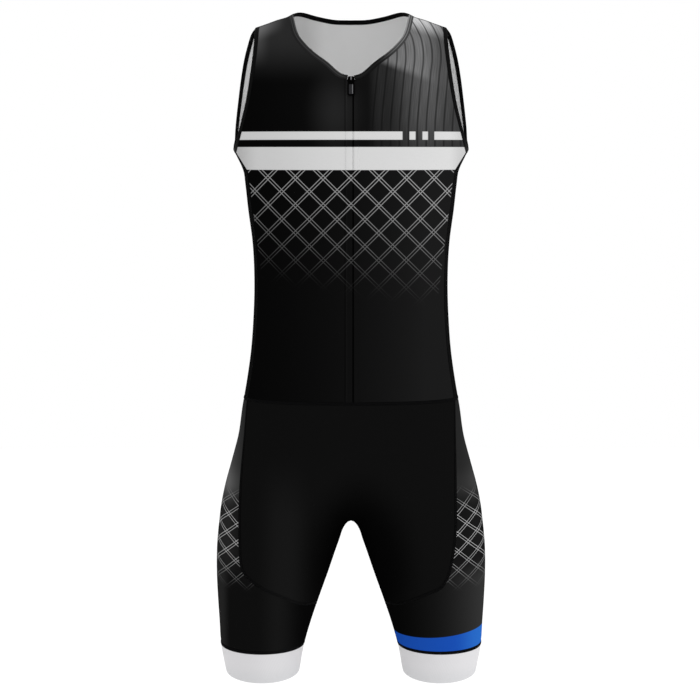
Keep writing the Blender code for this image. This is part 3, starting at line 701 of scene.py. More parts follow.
class ShaderTree:
    """The node tree of one new material, with a Principled shader at its end."""

    def __init__(self, name: str) -> None:
        """Makes the material.

        Args:
            name: The material's name.
        """
        self.material = bpy.data.materials.new(name)
        self.material.use_nodes = True
        self.tree = self.material.node_tree
        self.shader = self.tree.nodes["Principled BSDF"]

    def node(self, kind: str, *inputs: object, out: int | str = 0, **settings: object) -> NodeSocket:
        """Adds a node with its settings and links.

        Args:
            kind: The node type's name after ShaderNode, and after a dot its mode if it has one.
            inputs: Values or sockets for the inputs in order; None leaves one as it is.
            out: The output to return.
            settings: The node's own properties.

        Returns:
            The output socket.
        """
        name, _, mode = kind.partition(".")
        made = self.tree.nodes.new(f"ShaderNode{name}")
        if mode:
            setattr(made, MODE_OF[name], mode)
        for setting, value in settings.items():
            setattr(made, setting, value)
        for socket, value in zip([s for s in made.inputs if s.enabled], inputs):
            self.feed(socket, value)
        return made.outputs[out] if isinstance(out, str) else [s for s in made.outputs if s.enabled][out]

    def feed(self, socket: NodeSocket, value: object) -> None:
        """Links a socket to another, or sets its value.

        Args:
            socket: The input socket.
            value: The other socket, or the value; None leaves it as it is.
        """
        if isinstance(value, NodeSocket):
            self.tree.links.new(value, socket)
        elif value is not None:
            socket.default_value = value

    @cached_property
    def body(self) -> tuple[NodeSocket, ...]:
        """Distance across, depth and height on the suit, in metres."""
        place = self.node("TexCoord", out="Object")
        return tuple(self.node("SeparateXYZ", place, out=axis) for axis in "XYZ")

    @cached_property
    def pattern(self) -> tuple[NodeSocket, ...]:
        """Distance across and along on the flat pattern, in metres."""
        flat = self.node("UVMap", out="UV", uv_map="pattern")
        return tuple(self.node("SeparateXYZ", flat, out=axis) for axis in "XY")

    def band(self, value: object, low: float, high: float, soft: float) -> NodeSocket:
        """An amount that is one between two places.

        Args:
            value: The place's socket.
            low: The lower place.
            high: The higher place.
            soft: Half the width of each edge.

        Returns:
            The amount.
        """
        rise = self.node(RAMP, value, low - soft, low + soft)
        fall = self.node(RAMP, value, high + soft, high - soft)
        return self.node(TIMES, rise, fall)

    def product(self, *amounts: object) -> NodeSocket:
        """Multiplies amounts, from the first to the last.

        Args:
            amounts: Sockets or numbers.

        Returns:
            The product.
        """
        found = amounts[0]
        for amount in amounts[1:]:
            found = self.node(TIMES, found, amount)
        return found

    def finish(self, **values: object) -> Material:
        """Sets or links the shader's own inputs.

        Args:
            values: The inputs by name, with _ for a space.

        Returns:
            The material.
        """
        for name, value in values.items():
            self.feed(self.shader.inputs[name.replace("_", " ")], value)
        return self.material


@dataclass(frozen=True)
class KnitBump:
    """The loops of a knit: wales up the cloth and courses across it."""

    wale_mm: float = 0.9  # a real jersey has about 0.5; drawn coarser, so that it shows
    course_mm: float = 0.8
    height_mm: float = 0.08
    strength: float = 0.35
    slant: float = 1.2
    course_share: float = 0.35

    def normal(self, tree: ShaderTree) -> NodeSocket:
        """The bump of V-shaped loops, from the flat pattern.

        Args:
            tree: The material's tree.

        Returns:
            The shader's normal.
        """
        across, along = tree.pattern
        wale = tree.node(TIMES, across, math.pi / (self.wale_mm * MM))
        rib = tree.node(SIZE, tree.node("Math.SINE", wale))
        slant = tree.node(TIMES, rib, self.slant)
        course = tree.node(TIMES_PLUS, along, 2 * math.pi / (self.course_mm * MM), slant)
        loop = tree.node(TIMES_PLUS, tree.node("Math.SINE", course), self.course_share, rib)
        return tree.node("Bump", self.strength, self.height_mm * MM, None, loop, out="Normal")


@dataclass(frozen=True)
class Jersey:
    """Warp-knit polyester jersey, dyed through: a matt black that hardly answers to light."""

    name: str = "black_warp_knit_jersey"
    shade: str = "#0c0c0c"
    worn_shade: str = "#101010"
    roughness: float = 0.8
    knit: KnitBump = KnitBump()
    cloud_scale: float = 14.0  # patches of about 7 cm
    cloud_edges: Pair = (0.35, 0.7)
    # Painted highlight: the pale colour that the ground is mixed towards over the right thigh's front, how
    # much, and where.
    stretched_shade: str = "#f0f0f0"
    stretch: float = 0.0034
    thigh_across: float = -95.0
    thigh_width: Fade = Fade(44, 4)
    thigh_depth: Fade = Fade(-10, -45)
    thigh_height: Fade = Fade(-610, -720)
    # Painted shade between the legs: the cloth is mixed towards black round this spot.
    fork: Spot = Spot(12, -790)
    fork_squash: Triple = (1.0, 1.0, 0.62)
    fork_dark: Fade = Fade(100, 40, 0.0, 0.62)

    def ground(self, tree: ShaderTree) -> NodeSocket:
        """The dyed ground, a little uneven as dyed cloth is.

        Args:
            tree: The material's tree.

        Returns:
            Its colour.
        """
        place = tree.node("TexCoord", out="Object")
        cloud = tree.node("TexNoise", place, None, self.cloud_scale, 3.0, 0.5, out="Fac")
        part = tree.node(RAMP, cloud, *self.cloud_edges)
        return tree.node(MIX, part, linear(self.shade), linear(self.worn_shade))

    def dress(self, tree: ShaderTree, colour: NodeSocket) -> Material:
        """Gives the shader its colour and the knit's surface."""
        tree.finish(Base_Color=colour, Roughness=self.roughness, Specular_IOR_Level=0.0)
        return tree.finish(Normal=self.knit.normal(tree))

    def make(self) -> Material:
        """The plain cloth, with a painted highlight over the right thigh's front and painted shade at the fork.

        Returns:
            The material.
        """
        tree = ShaderTree(self.name)
        node = tree.node
        across, depth, height = tree.body
        # Painted highlight over the right thigh's front.
        highlight_band = node(RAMP, node(SIZE, node(PLUS, across, -self.thigh_across * MM)), *self.thigh_width)
        front = node(RAMP, depth, *self.thigh_depth)
        stretch = tree.product(highlight_band, front, node(RAMP, height, *self.thigh_height), self.stretch)
        dyed = node(MIX, stretch, self.ground(tree), linear(self.stretched_shade))
        # Painted shade at the fork, mixed towards black.
        low = node(PLUS, height, -self.fork.height * MM)
        fork = node("CombineXYZ", node(LESS, across, self.fork.across * MM), 0.0, low)
        fork = node("VectorMath.MULTIPLY", fork, self.fork_squash)
        painted_fork_shade = node(RAMP, node("VectorMath.LENGTH", fork, out="Value"), *self.fork_dark)
        return self.dress(tree, node(MIX, painted_fork_shade, dyed, linear("#000000")))


@dataclass(frozen=True)
class Lattice:
    """A printed lattice of double slanting lines, in millimetres."""

    across: float
    up: float
    row_level: float
    pair_gap: float
    line: float
    column_at: float = 0.0
    line_edges: Pair = (0.75, 0.25)

    def mask(self, tree: ShaderTree, across: object, height: object) -> NodeSocket:
        """One on the lines of both slants.

        Args:
            tree: The material's tree.
            across: Socket with the distance across, in metres.
            height: Socket with the height, in metres.

        Returns:
            The mask's socket.
        """
        node = tree.node
        column = node("Math.DIVIDE", node(LESS, across, self.column_at * MM), self.across * MM)
        row = node("Math.DIVIDE", node(LESS, height, self.row_level * MM), self.up * MM)
        masks = []
        slant = math.hypot(1 / self.across, 1 / self.up)
        for way in (1.0, -1.0):
            phase = node("Math.FRACT", node(TIMES_PLUS, row, way, column))
            off = node(SIZE, node(LESS, phase, 0.5))
            away = node("Math.DIVIDE", node(LESS, 0.5, off), slant)
            beside = node(SIZE, node(LESS, away, self.pair_gap / 2))
            masks.append(node(RAMP, beside, *(self.line * edge for edge in self.line_edges)))
        return node("Math.MAXIMUM", *masks)


@dataclass(frozen=True)
class Yoke:
    """Brushed grey print over the shoulders, with painted highlights along the shoulder tops and the right
    armhole and painted shade below a slanting line on the left chest; its amounts are shares of full ink.
    """

    most: float = 0.75
    shoulder_slope: float = 0.344
    # Painted highlight along the shoulder top: where it lies, and how much it brightens the left chest's print.
    crest: Fade = Fade(8, 31)  # along the shoulder seam
    crest_gain: float = 2.9
    # Below the slanting line the print is darker: painted shade.
    upper: float = 0.145  # above the left chest's slanting fold
    upper_fall: Fade = Fade(96, 130, 1.0, 0.42)
    lower: Fade = Fade(50, 104, 0.014, 0.082)
    lower_rise: Fade = Fade(-165, -85, 0.62)
    lower_fall: Fade = Fade(112, 140, 1.0, 0.62)
    fold_slope: float = 0.394
    fold: Fade = Fade(-54, -40)
    left_edge: Fade = Fade(22, 40)
    left_foot: Fade = Fade(-216.5, -158)
    right_edge: Fade = Fade(35, 5)
    right_rise: Fade = Fade(-98, -26)
    right_ink: float = 0.019
    # Painted highlights on the right chest: along the armhole, and at the shoulder's end.
    arm_across: Fade = Fade(112, 138)
    arm_height: Fade = Fade(-78, -25)
    arm_ink: float = 0.045
    end_across: Fade = Fade(90, 124)
    end_ink: float = 0.075
    mist_across: float = -22.0
    mist_drop: float = 83.0
    mist_squash: float = 0.62
    mist_reach: float = 48.0
    mist_ink: float = 0.012
    trunk_across: float = -117.0
    trunk_reach: float = 125.0
    trunk_ink: Pair = (0.0015, 0.0088)  # where it starts, and its most
    line_step: float = 12.5
    line_share: float = 0.2
    line_start: float = 2.0
    line_edges: Pair = (0.72, 0.25)
    line_dark: float = 0.68
    streak_scale: Pair = (480.0, 11.0)  # brush marks 2 mm wide and 9 cm long
    streak_grain: tuple[float, ...] = (0.3, 0.7, 0.72, 1.28)
    curve_span: float = 40.0
    curve: tuple[Pair, ...] = (
        (-160.0, -9.6), (-146.0, -9.0), (-103.0, -4.9), (-82.0, -2.7), (-57.0, 0.0), (-37.0, -1.6),
        (-21.0, -7.0), (-4.0, -16.0), (10.0, -26.0),
    )

    def bent(self, tree: ShaderTree) -> NodeSocket:
        """Distance across, measured from the yoke's curved lines.

        Args:
            tree: The material's tree.

        Returns:
            The distance, in metres.
        """
        across, _, height = tree.body
        low, high = self.curve[0][0], self.curve[-1][0]
        made = tree.tree.nodes.new("ShaderNodeFloatCurve")
        line = made.mapping.curves[0]
        whole = high - low
        spots = [((level - low) / whole, 1.0 + shift / self.curve_span) for level, shift in self.curve]
        line.points[0].location, line.points[1].location = spots[0], spots[-1]
        for spot in spots[1:-1]:
            line.points.new(*spot)
        made.mapping.update()
        tree.feed(made.inputs["Value"], tree.node("MapRange", height, *Fade(low, high)))
        span = self.curve_span * MM
        return tree.node(LESS, across, tree.node(TIMES_PLUS, made.outputs["Value"], span, -span))

    def stripes(self, tree: ShaderTree) -> NodeSocket:
        """Brushed streaks crossed by the yoke's curved dark lines.

        Args:
            tree: The material's tree.

        Returns:
            A factor round one.
        """
        node, bent = tree.node, self.bent(tree)
        fine, long = self.streak_scale
        streaks = node("CombineXYZ", node(TIMES, bent, fine), 0.0, node(TIMES, tree.body[2], long))
        grain = node("MapRange", node("TexNoise", streaks, None, 1.0, 4.0, 0.6), *self.streak_grain)
        step = node("Math.DIVIDE", node(LESS, bent, self.line_start * MM), self.line_step * MM)
        off = node(SIZE, node(LESS, node("Math.FRACT", step), 0.5))
        line = node(RAMP, off, *(0.5 - self.line_share * edge for edge in self.line_edges))
        return node(TIMES, grain, node(TIMES_PLUS, line, -self.line_dark, 1.0))

    def left(self, tree: ShaderTree, crest: NodeSocket) -> NodeSocket:
        """The ink on the left chest: the brushed print, lighter above a slanting line and darker below it with
        painted shade.

        Args:
            tree: The material's tree.
            crest: How near the shoulder seam it is.

        Returns:
            The ink.
        """
        node = tree.node
        across, _, height = tree.body
        upper = tree.product(self.upper, node(RAMP, across, *self.upper_fall))
        # Painted highlight along the shoulder top.
        upper = tree.product(upper, node(TIMES_PLUS, crest, self.crest_gain, 1.0))
        lower = node(RAMP, across, *self.lower)
        lower = tree.product(lower, node("MapRange", height, *self.lower_rise))
        lower = tree.product(lower, node(RAMP, across, *self.lower_fall))
        # Painted shade: the print is darker below the slanting line.
        part = node(RAMP, node(TIMES_PLUS, across, self.fold_slope, height), *self.fold)
        ink = node(PLUS, node(TIMES, upper, part), node(TIMES, lower, node(LESS, 1.0, part)))
        ink = tree.product(ink, self.stripes(tree), node(RAMP, across, *self.left_edge))
        return tree.product(ink, node(RAMP, height, *self.left_foot))

    def right(self, tree: ShaderTree, crest: NodeSocket) -> NodeSocket:
        """The right chest: faint printed grey rising towards the top, with painted highlights along the armhole
        and at the shoulder's end.

        Args:
            tree: The material's tree.
            crest: How near the shoulder seam it is.

        Returns:
            The ink.
        """
        node = tree.node
        across, _, height = tree.body
        aside = node(SIZE, across)
        # Painted highlights along the armhole and at the shoulder's end.
        arm = node(TIMES, node(RAMP, aside, *self.arm_across), node(RAMP, height, *self.arm_height))
        end = node(TIMES, crest, node(RAMP, aside, *self.end_across))
        rim = node(PLUS, node(TIMES, arm, self.arm_ink), node(TIMES, end, self.end_ink))
        ink = node(TIMES_PLUS, node(RAMP, height, *self.right_rise), self.right_ink, rim)
        return node(TIMES, ink, node(RAMP, across, *self.right_edge))

    def middle(self, tree: ShaderTree) -> NodeSocket:
        """The faint ink below the neck and over the trunk.

        Args:
            tree: The material's tree.

        Returns:
            The ink.
        """
        node = tree.node
        across, _, height = tree.body
        aside = node(PLUS, across, -self.mist_across * MM)
        hub = node("CombineXYZ", aside, 0.0, node(TIMES_PLUS, height, self.mist_squash, self.mist_drop * MM))
        mist = node(TIMES, node("VectorMath.LENGTH", hub, out="Value"), 1 / (self.mist_reach * MM))
        mist = node(TIMES, self.mist_ink, node(RAMP, mist, 1.0, 0.0))
        start, most = self.trunk_ink
        trunk = node(TIMES, node(PLUS, across, -self.trunk_across * MM), 1 / (self.trunk_reach * MM))
        trunk = node("Math.MINIMUM", node(TIMES, start, node("Math.EXPONENT", trunk)), most)
        return node(PLUS, mist, trunk)

    def ink(self, tree: ShaderTree) -> NodeSocket:
        """All the yoke's ink with its painted highlights and painted shade, before the zip's lines.

        Args:
            tree: The material's tree.

        Returns:
            The ink.
        """
        across, _, height = tree.body
        seam = tree.node(TIMES_PLUS, tree.node(SIZE, across), self.shoulder_slope, height)
        # Where the painted shoulder-top highlight lies.
        crest = tree.node(RAMP, seam, *self.crest)
        both = tree.node(PLUS, self.left(tree, crest), self.right(tree, crest))
        return tree.node(PLUS, both, self.middle(tree))


@dataclass(frozen=True)
class ChestPrint:
    """Sublimation print on the fronts: two white bands, a lattice and a brushed grey yoke, with painted shade
    and painted highlights laid into it.
    """

    cloth: Jersey = Jersey()
    yoke: Yoke = Yoke()
    white: str = "#c7c7c7"
    grey: str = "#f2f2f3"
    thin_band: Stripe = Stripe(-173.9, -162.5, 0.4)
    gaps: tuple[Stripe, ...] = (Stripe(71.6, 81.4, 0.7), Stripe(89.9, 99.7, 0.7), Stripe(107.4, 116.5, 0.7))
    wide_band: Stripe = Stripe(-215.9, -184.0, 0.4)
    # Painted shade: the wide band greys towards the wearer's right side.
    wide_fall: Fade = Fade(-166, -128, 0.74)
    white_margin: Fade = Fade(287.5, 286.7)  # the white stops here, short of the side seam
    white_slope: float = 0.645
    # Painted shade: the white greys towards both sides, more to the wearer's right.
    white_right: Fade = Fade(-150, 10, 0.91)
    white_left: Fade = Fade(158, 136, 0.84)
    lattice: Lattice = Lattice(38.9, 38.5, -226.8, 3.9, 1.05)
    lattice_ink: float = 0.49
    lattice_fall: float = 1.2  # how unevenly its ink thins out down the cloth
    lattice_slant: float = 0.17
    lattice_end: Fade = Fade(-400, -205)
    lattice_top: Fade = Fade(-215.5, -216.3)
    lattice_margin: Fade = Fade(173.8, 172.4)
    lattice_slope: float = 0.124
    # Painted shade where the turned edge steps down to the cloth, and a painted highlight on its pressed fold.
    sewn_line: Stripe = Stripe(-9.1, -7.9)
    sewn_dark: float = 0.5
    pressed_line: Stripe = Stripe(-7.3, -5.4, 0.5)
    pressed_rise: Fade = Fade(-150, -100, 0.3)
    pressed_ink: float = 0.0055
    # Painted shade in the slit between the fronts.
    slit_line: Stripe = Stripe(2.0, 3.9)

    def greyed(self, tree: ShaderTree) -> NodeSocket:
        """How much grey lies over the black, with painted shade beside the zip's turned edge and in its slit,
        and a painted highlight on the pressed fold.

        Args:
            tree: The material's tree.

        Returns:
            The amount.
        """
        node = tree.node
        across, _, height = tree.body
        # Painted shade beside the turned edge, and a painted highlight on its pressed fold.
        sunk = node(TIMES_PLUS, tree.band(across, *self.sewn_line), -self.sewn_dark, 1.0)
        total = node(TIMES, self.yoke.ink(tree), sunk)
        painted_pressed_highlight = node(TIMES, tree.band(across, *self.pressed_line), node(RAMP, height, *self.pressed_rise))
        total = node(TIMES_PLUS, painted_pressed_highlight, self.pressed_ink, total)
        # Painted shade in the slit between the fronts.
        total = node(TIMES, total, node(LESS, 1.0, tree.band(across, *self.slit_line)))
        return node("Math.MINIMUM", total, self.yoke.most)

    def lines(self, tree: ShaderTree) -> NodeSocket:
        """The white lattice below the wide band, thinner down the cloth.

        Args:
            tree: The material's tree.

        Returns:
            The amount of white.
        """
        node = tree.node
        across, _, height = tree.body
        ink = node(RAMP, node(TIMES_PLUS, across, self.lattice_slant, height), *self.lattice_end)
        ink = node(TIMES, node("Math.POWER", ink, self.lattice_fall), self.lattice_ink)
        ink = node(TIMES, ink, node(RAMP, height, *self.lattice_top))
        seam = node(TIMES_PLUS, height, -self.lattice_slope, node(SIZE, across))
        mask = self.lattice.mask(tree, across, height)
        return tree.product(mask, ink, node(RAMP, seam, *self.lattice_margin))

    def bands(self, tree: ShaderTree) -> NodeSocket:
        """The two white bands, greyed towards both sides with painted shade.

        Args:
            tree: The material's tree.

        Returns:
            The amount of white.
        """
        node = tree.node
        across, _, height = tree.body
        thin = tree.band(height, *self.thin_band)
        for gap in self.gaps:
            thin = node(TIMES, thin, node(LESS, 1.0, tree.band(across, *gap)))
        wide = node(TIMES, tree.band(height, *self.wide_band), node(RAMP, across, *self.wide_fall))
        seam = node(TIMES_PLUS, height, -self.white_slope, node(SIZE, across))
        wide = node(TIMES, wide, node(RAMP, seam, *self.white_margin))
        # Painted shade towards both sides of the chest.
        shade = node(TIMES, node(RAMP, across, *self.white_right), node(RAMP, across, *self.white_left))
        return node(TIMES, node("Math.MAXIMUM", thin, wide), shade)

    def make(self) -> Material:
        """The printed cloth of the fronts; the print lies level on the filled-out suit.

        Returns:
            The material.
        """
        tree = ShaderTree("sublimation_printed_jersey_fronts")
        colour = tree.node(MIX, self.greyed(tree), self.cloth.ground(tree), linear(self.grey))
        colour = tree.node(MIX, self.lines(tree), colour, linear(self.white))
        return self.cloth.dress(tree, tree.node(MIX, self.bands(tree), colour, linear(self.white)))


HIP_LATTICE = {
    Side.RIGHT: Lattice(29.5, 26.4, -669.0, 3.4, 0.6, -17.9),
    Side.LEFT: Lattice(29.5, 26.4, -681.0, 3.4, 0.6, 6.9),
}
# The printed haze's ink over the whole hip, and the painted sheen that it gains towards the side.
HIP_HAZE_AND_SHEEN = {Side.RIGHT: (0.0165, 0.052), Side.LEFT: (0.0125, 0.012)}


@dataclass(frozen=True)
class LegPrint:
    """Sublimation print on a leg panel: a small lattice on the hip, and a band at the left cuff; the ground
    carries painted highlights, painted sheen and painted shade.
    """

    side: Side
    cloth: Jersey = Jersey()
    white: str = "#c4c4c4"
    # The colour that the printed haze, the painted sheen, the painted highlights and the painted light are
    # mixed towards.
    pale: str = "#f2f2f2"
    blue: str = "#1747a2"
    # Painted highlight: the band turns this paler blue towards the outside of the leg.
    paler_blue: str = "#2560b4"
    lattice_ink: float = 0.72
    lattice_fade: Fade = Fade(-664, -714)
    print_foot: Fade = Fade(-820, -748)
    mist: Fade = Fade(-704, -666, 0.18)
    mist_side: Fade = Fade(150, 176)
    mottle_scale: float = 110.0  # flecks of about 9 mm
    mottle: tuple[float, ...] = (0.35, 0.65, 0.45, 1.55)
    crest_top: Fade = Fade(-636, -662)
    crest_foot: Fade = Fade(-690, -666)
    crest_gain: float = 0.5
    # Painted highlight on the right leg, and painted light on the left leg, below this height.
    thigh_below: Fade = Fade(-770, -806)
    thigh_across: float = 100.0
    thigh_width: Fade = Fade(36, 2)
    thigh_stretch: float = 0.0032
    thigh_rim: Fade = Fade(174, 188, 0.0, 0.012)
    # Painted light, growing towards the outside of the left leg.
    smoke: Fade = Fade(94, 186)
    smoke_ink: float = 0.023
    # Painted shade towards the inner leg.
    inner_dark: Fade = Fade(112, 66, 0.0, 0.5)
    band_edge: Fade = Fade(-884.8, -885.6)
    band_centre: float = 128.0
    band_tilt: float = 0.080
    band_bend: float = 0.9
    band_far: Fade = Fade(146, 188)

    def shaded(self, tree: ShaderTree, out: NodeSocket) -> NodeSocket:
        """The ground: below the hip, a painted highlight down the right thigh and along its outer rim, and on
        the left leg painted light growing towards the outside; and painted shade towards the inner leg.

        Args:
            tree: The material's tree.
            out: Distance from the middle of the body, in metres.

        Returns:
            The colour.
        """
        node = tree.node
        ground = self.cloth.ground(tree)
        low = node(RAMP, tree.pattern[1], *self.thigh_below)
        if self.side is Side.RIGHT:
            # Painted highlight down the right thigh and along its outer rim.
            highlight_band = node(RAMP, node(SIZE, node(LESS, out, self.thigh_across * MM)), *self.thigh_width)
            pale = node(TIMES_PLUS, highlight_band, self.thigh_stretch, node(RAMP, out, *self.thigh_rim))
        else:
            # Painted light, growing towards the outside of the left leg.
            pale = node(TIMES, node("Math.POWER", node("MapRange", out, *self.smoke), 2.0), self.smoke_ink)
        colour = node(MIX, node(TIMES, pale, low), ground, linear(self.pale))
        # Painted shade towards the inner leg, mixed towards black.
        return node(MIX, node(RAMP, out, *self.inner_dark), colour, linear("#000000"))

    def haze(self, tree: ShaderTree, out: NodeSocket) -> NodeSocket:
        """The mottled printed haze behind the lattice, with a painted sheen towards the hip's side.

        Args:
            tree: The material's tree.
            out: Distance from the middle of the body, in metres.

        Returns:
            The amount of ink.
        """
        node, height = tree.node, tree.pattern[1]
        whole, rim = HIP_HAZE_AND_SHEEN[self.side]
        # Painted sheen, more towards the hip's side.
        side = node("Math.POWER", node("MapRange", out, *self.mist_side), 2.0)
        mist = node(TIMES, node(RAMP, height, *self.mist), node(TIMES_PLUS, side, rim, whole))
        crest = node(TIMES, node(RAMP, height, *self.crest_top), node(RAMP, height, *self.crest_foot))
        mist = node(TIMES, mist, node(TIMES_PLUS, crest, self.crest_gain, 1.0))
        place = node("TexCoord", out="Object")
        flecks = node("TexNoise", place, None, self.mottle_scale, 3.0, 0.55, out="Fac")
        return node(TIMES, mist, node("MapRange", flecks, *self.mottle))

    def banded(self, tree: ShaderTree, out: NodeSocket, colour: NodeSocket) -> NodeSocket:
        """Adds the blue band above the cuff, bent round the leg, paler towards the outside as a painted
        highlight.

        Args:
            tree: The material's tree.
            out: Distance from the middle of the body, in metres.
            colour: The colour so far.

        Returns:
            The colour.
        """
        node = tree.node
        away = node(LESS, out, self.band_centre * MM)
        level = node(TIMES_PLUS, away, -self.band_tilt, tree.body[2])
        level = node(TIMES_PLUS, node(TIMES, away, away), -self.band_bend, level)
        # Painted highlight: paler blue towards the outside of the leg.
        blue = node(MIX, node(RAMP, out, *self.band_far), linear(self.blue), linear(self.paler_blue))
        return node(MIX, node(RAMP, level, *self.band_edge), colour, blue)

    def make(self) -> Material:
        """The printed cloth; the lattice follows the cloth round the hip.

        Returns:
            The material.
        """
        tree = ShaderTree(f"sublimation_printed_jersey_leg_{self.side.word}")
        node = tree.node
        across, height = tree.pattern
        out = node(TIMES, tree.body[0], float(self.side.value))
        foot = node(RAMP, height, *self.print_foot)
        haze = node(TIMES, self.haze(tree, out), foot)
        colour = node(MIX, haze, self.shaded(tree, out), linear(self.pale))
        ink = tree.product(node(RAMP, height, *self.lattice_fade), foot, self.lattice_ink)
        lines = node(TIMES, HIP_LATTICE[self.side].mask(tree, across, height), ink)
        colour = node(MIX, lines, colour, linear(self.white))
        if self.side is Side.LEFT:
            colour = self.banded(tree, out, colour)
        return self.cloth.dress(tree, colour)


@dataclass(frozen=True)
class Reverse:
    """The unprinted reverse of the jersey: a chalky off-white, greyer in a band on the wearer's right as a
    painted shadow of the front's neck edge.
    """

    shade: str = "#e8e8e8"
    # The painted shadow's colour, and where it lies across.
    struck: str = "#d0d0d0"
    struck_edges: tuple[Fade, Fade] = (Fade(-34, -72), Fade(-118, -96))
    knit: KnitBump = KnitBump(strength=0.25)

    def make(self) -> Material:
        """The reverse.

        Returns:
            The material.
        """
        tree = ShaderTree("unprinted_jersey_reverse")
        # Painted shadow of the front's neck edge on the inside of the back.
        painted_shadow = tree.product(*(tree.node(RAMP, tree.body[0], *edge) for edge in self.struck_edges))
        colour = tree.node(MIX, painted_shadow, linear(self.shade), linear(self.struck))
        normal = self.knit.normal(tree)
        return tree.finish(Base_Color=colour, Roughness=0.85, Normal=normal, Specular_IOR_Level=0.2)


@dataclass(frozen=True)
class GripperKnit:
    """White elastic gripper knit: fine upright ribs, a satin gleam and a slightly greyer hem."""

    shade: str = "#cbcacc"
    hem_shade: str = "#c5c5c7"
    hem: Fade = Fade(-928, -950)
    rib_mm: float = 2.4  # a real one has about 1.2; drawn coarser, so that it shows
    course_mm: float = 0.9
    course_share: float = 0.3
    height_mm: float = 0.12

    def make(self) -> Material:
        """The knit.

        Returns:
            The material.
        """
        tree = ShaderTree("white_elastic_gripper_knit")
        node = tree.node
        across, height = tree.pattern
        rib = node("Math.SINE", node(TIMES, across, 2 * math.pi / (self.rib_mm * MM)))
        course = node("Math.SINE", node(TIMES, height, 2 * math.pi / (self.course_mm * MM)))
        relief = node(TIMES_PLUS, course, self.course_share, rib)
        bump = node("Bump", 0.3, self.height_mm * MM, None, relief, out="Normal")
        colour = node(MIX, node(RAMP, height, *self.hem), linear(self.shade), linear(self.hem_shade))
        return tree.finish(Base_Color=colour, Roughness=0.6, Normal=bump, Specular_IOR_Level=0.3)


@dataclass(frozen=True)
class EdgeTape:
    """Folded elastic tape: a dense black rib sewn down in grooves; the yoke's print runs over it, brighter on
    the fold as a painted highlight and darker in the grooves as painted shade.
    """

    printed: bool
    shade: str = "#050505"
    grey: str = "#f2f2f3"
    rib_mm: float = 1.0
    height_mm: float = 0.15
    lit: tuple[float, ...] = (0.3, 0.7, 0.0, 0.003)
    left_ink: Fade = Fade(36, 76, 0.008, 0.14)
    right_ink: Fade = Fade(4, -20, 0.0, 0.026)
    front: Fade = Fade(4, -16)
    # Painted highlight: the print is brighter on the fold.
    rubbed: Fade = Fade(4.6, 5.6, 1.0, 1.7)
    grooves: tuple[Stripe, Stripe] = (Stripe(-1.2, 1.7), Stripe(3.3, 4.6))
    groove_dark: float = 0.62

    def inked(self, tree: ShaderTree, ground: NodeSocket) -> NodeSocket:
        """Adds the yoke's print to the tape, with a painted highlight on the fold and painted shade in the
        grooves; its pattern runs from the seam to the fold.

        Args:
            tree: The material's tree.
            ground: The grey that it has without the print.

        Returns:
            The amount of grey.
        """
        node, width = tree.node, tree.pattern[0]
        across, depth, _ = tree.body
        ink = node(PLUS, node(RAMP, across, *self.left_ink), node(RAMP, across, *self.right_ink))
        # Painted highlight on the fold, and painted shade in the stitch grooves.
        ink = node(TIMES, ink, node(RAMP, width, *self.rubbed))
        grooves = node("Math.MAXIMUM", *(tree.band(width, *groove) for groove in self.grooves))
        ink = node(TIMES, ink, node(TIMES_PLUS, grooves, -self.groove_dark, 1.0))
        return node(TIMES_PLUS, ink, node(RAMP, depth, *self.front), ground)

    def make(self) -> Material:
        """The tape.

        Returns:
            The material.
        """
        tree = ShaderTree("folded_elastic_tape" + ("_printed" if self.printed else ""))
        place = tree.node("TexCoord", out="Object")
        waves = tree.node("TexNoise", place, None, 1.0 / (self.rib_mm * MM), 2.0, 0.5, out="Fac")
        bump = tree.node("Bump", 0.4, self.height_mm * MM, None, waves, out="Normal")
        amount = tree.node("MapRange", waves, *self.lit)
        if self.printed:
            amount = self.inked(tree, amount)
        colour = tree.node(MIX, amount, linear(self.shade), linear(self.grey))
        return tree.finish(Base_Color=colour, Roughness=0.6, Normal=bump, Specular_IOR_Level=0.02)


@dataclass(frozen=True)
class Thread:
    """Twisted polyester sewing thread: slightly glossy, with a slant of two plies."""

    name: str
    shade: str
    ply_mm: float = 0.6
    height_mm: float = 0.05
    gloss: float = 0.02

    def make(self) -> Material:
        """The thread.

        Returns:
            The material.
        """
        tree = ShaderTree(self.name)
        place = tree.node("TexCoord", out="Object")
        plies = tree.node("TexNoise", place, None, 1.0 / (self.ply_mm * MM), 1.0, 0.5, out="Fac")
        bump = tree.node("Bump", 0.3, self.height_mm * MM, None, plies, out="Normal")
        colour = linear(self.shade)
        return tree.finish(Base_Color=colour, Roughness=0.5, Normal=bump, Specular_IOR_Level=self.gloss)


@dataclass(frozen=True)
class WovenTape:
    """Woven polyester zip tape: a fine herringbone, matt, with its ridges a touch lighter."""

    shade: str = "#040404"
    lit_shade: str = "#0a0a0b"
    lit: Pair = (-0.5, 0.9)
    rib_mm: float = 1.6
    turn_mm: float = 2.0
    height_mm: float = 0.1

    def make(self) -> Material:
        """The tape.

        Returns:
            The material.
        """
        tree = ShaderTree("woven_zip_tape")
        node = tree.node
        across, along = tree.pattern
        slant = node(PLUS, node("Math.PINGPONG", across, self.turn_mm * MM), along)
        twill = node("Math.SINE", node(TIMES, slant, 2 * math.pi / (self.rib_mm * MM)))
        bump = node("Bump", 0.5, self.height_mm * MM, None, twill, out="Normal")
        colour = node(MIX, node(RAMP, twill, *self.lit), linear(self.shade), linear(self.lit_shade))
        return tree.finish(Base_Color=colour, Roughness=0.7, Normal=bump, Specular_IOR_Level=0.04)


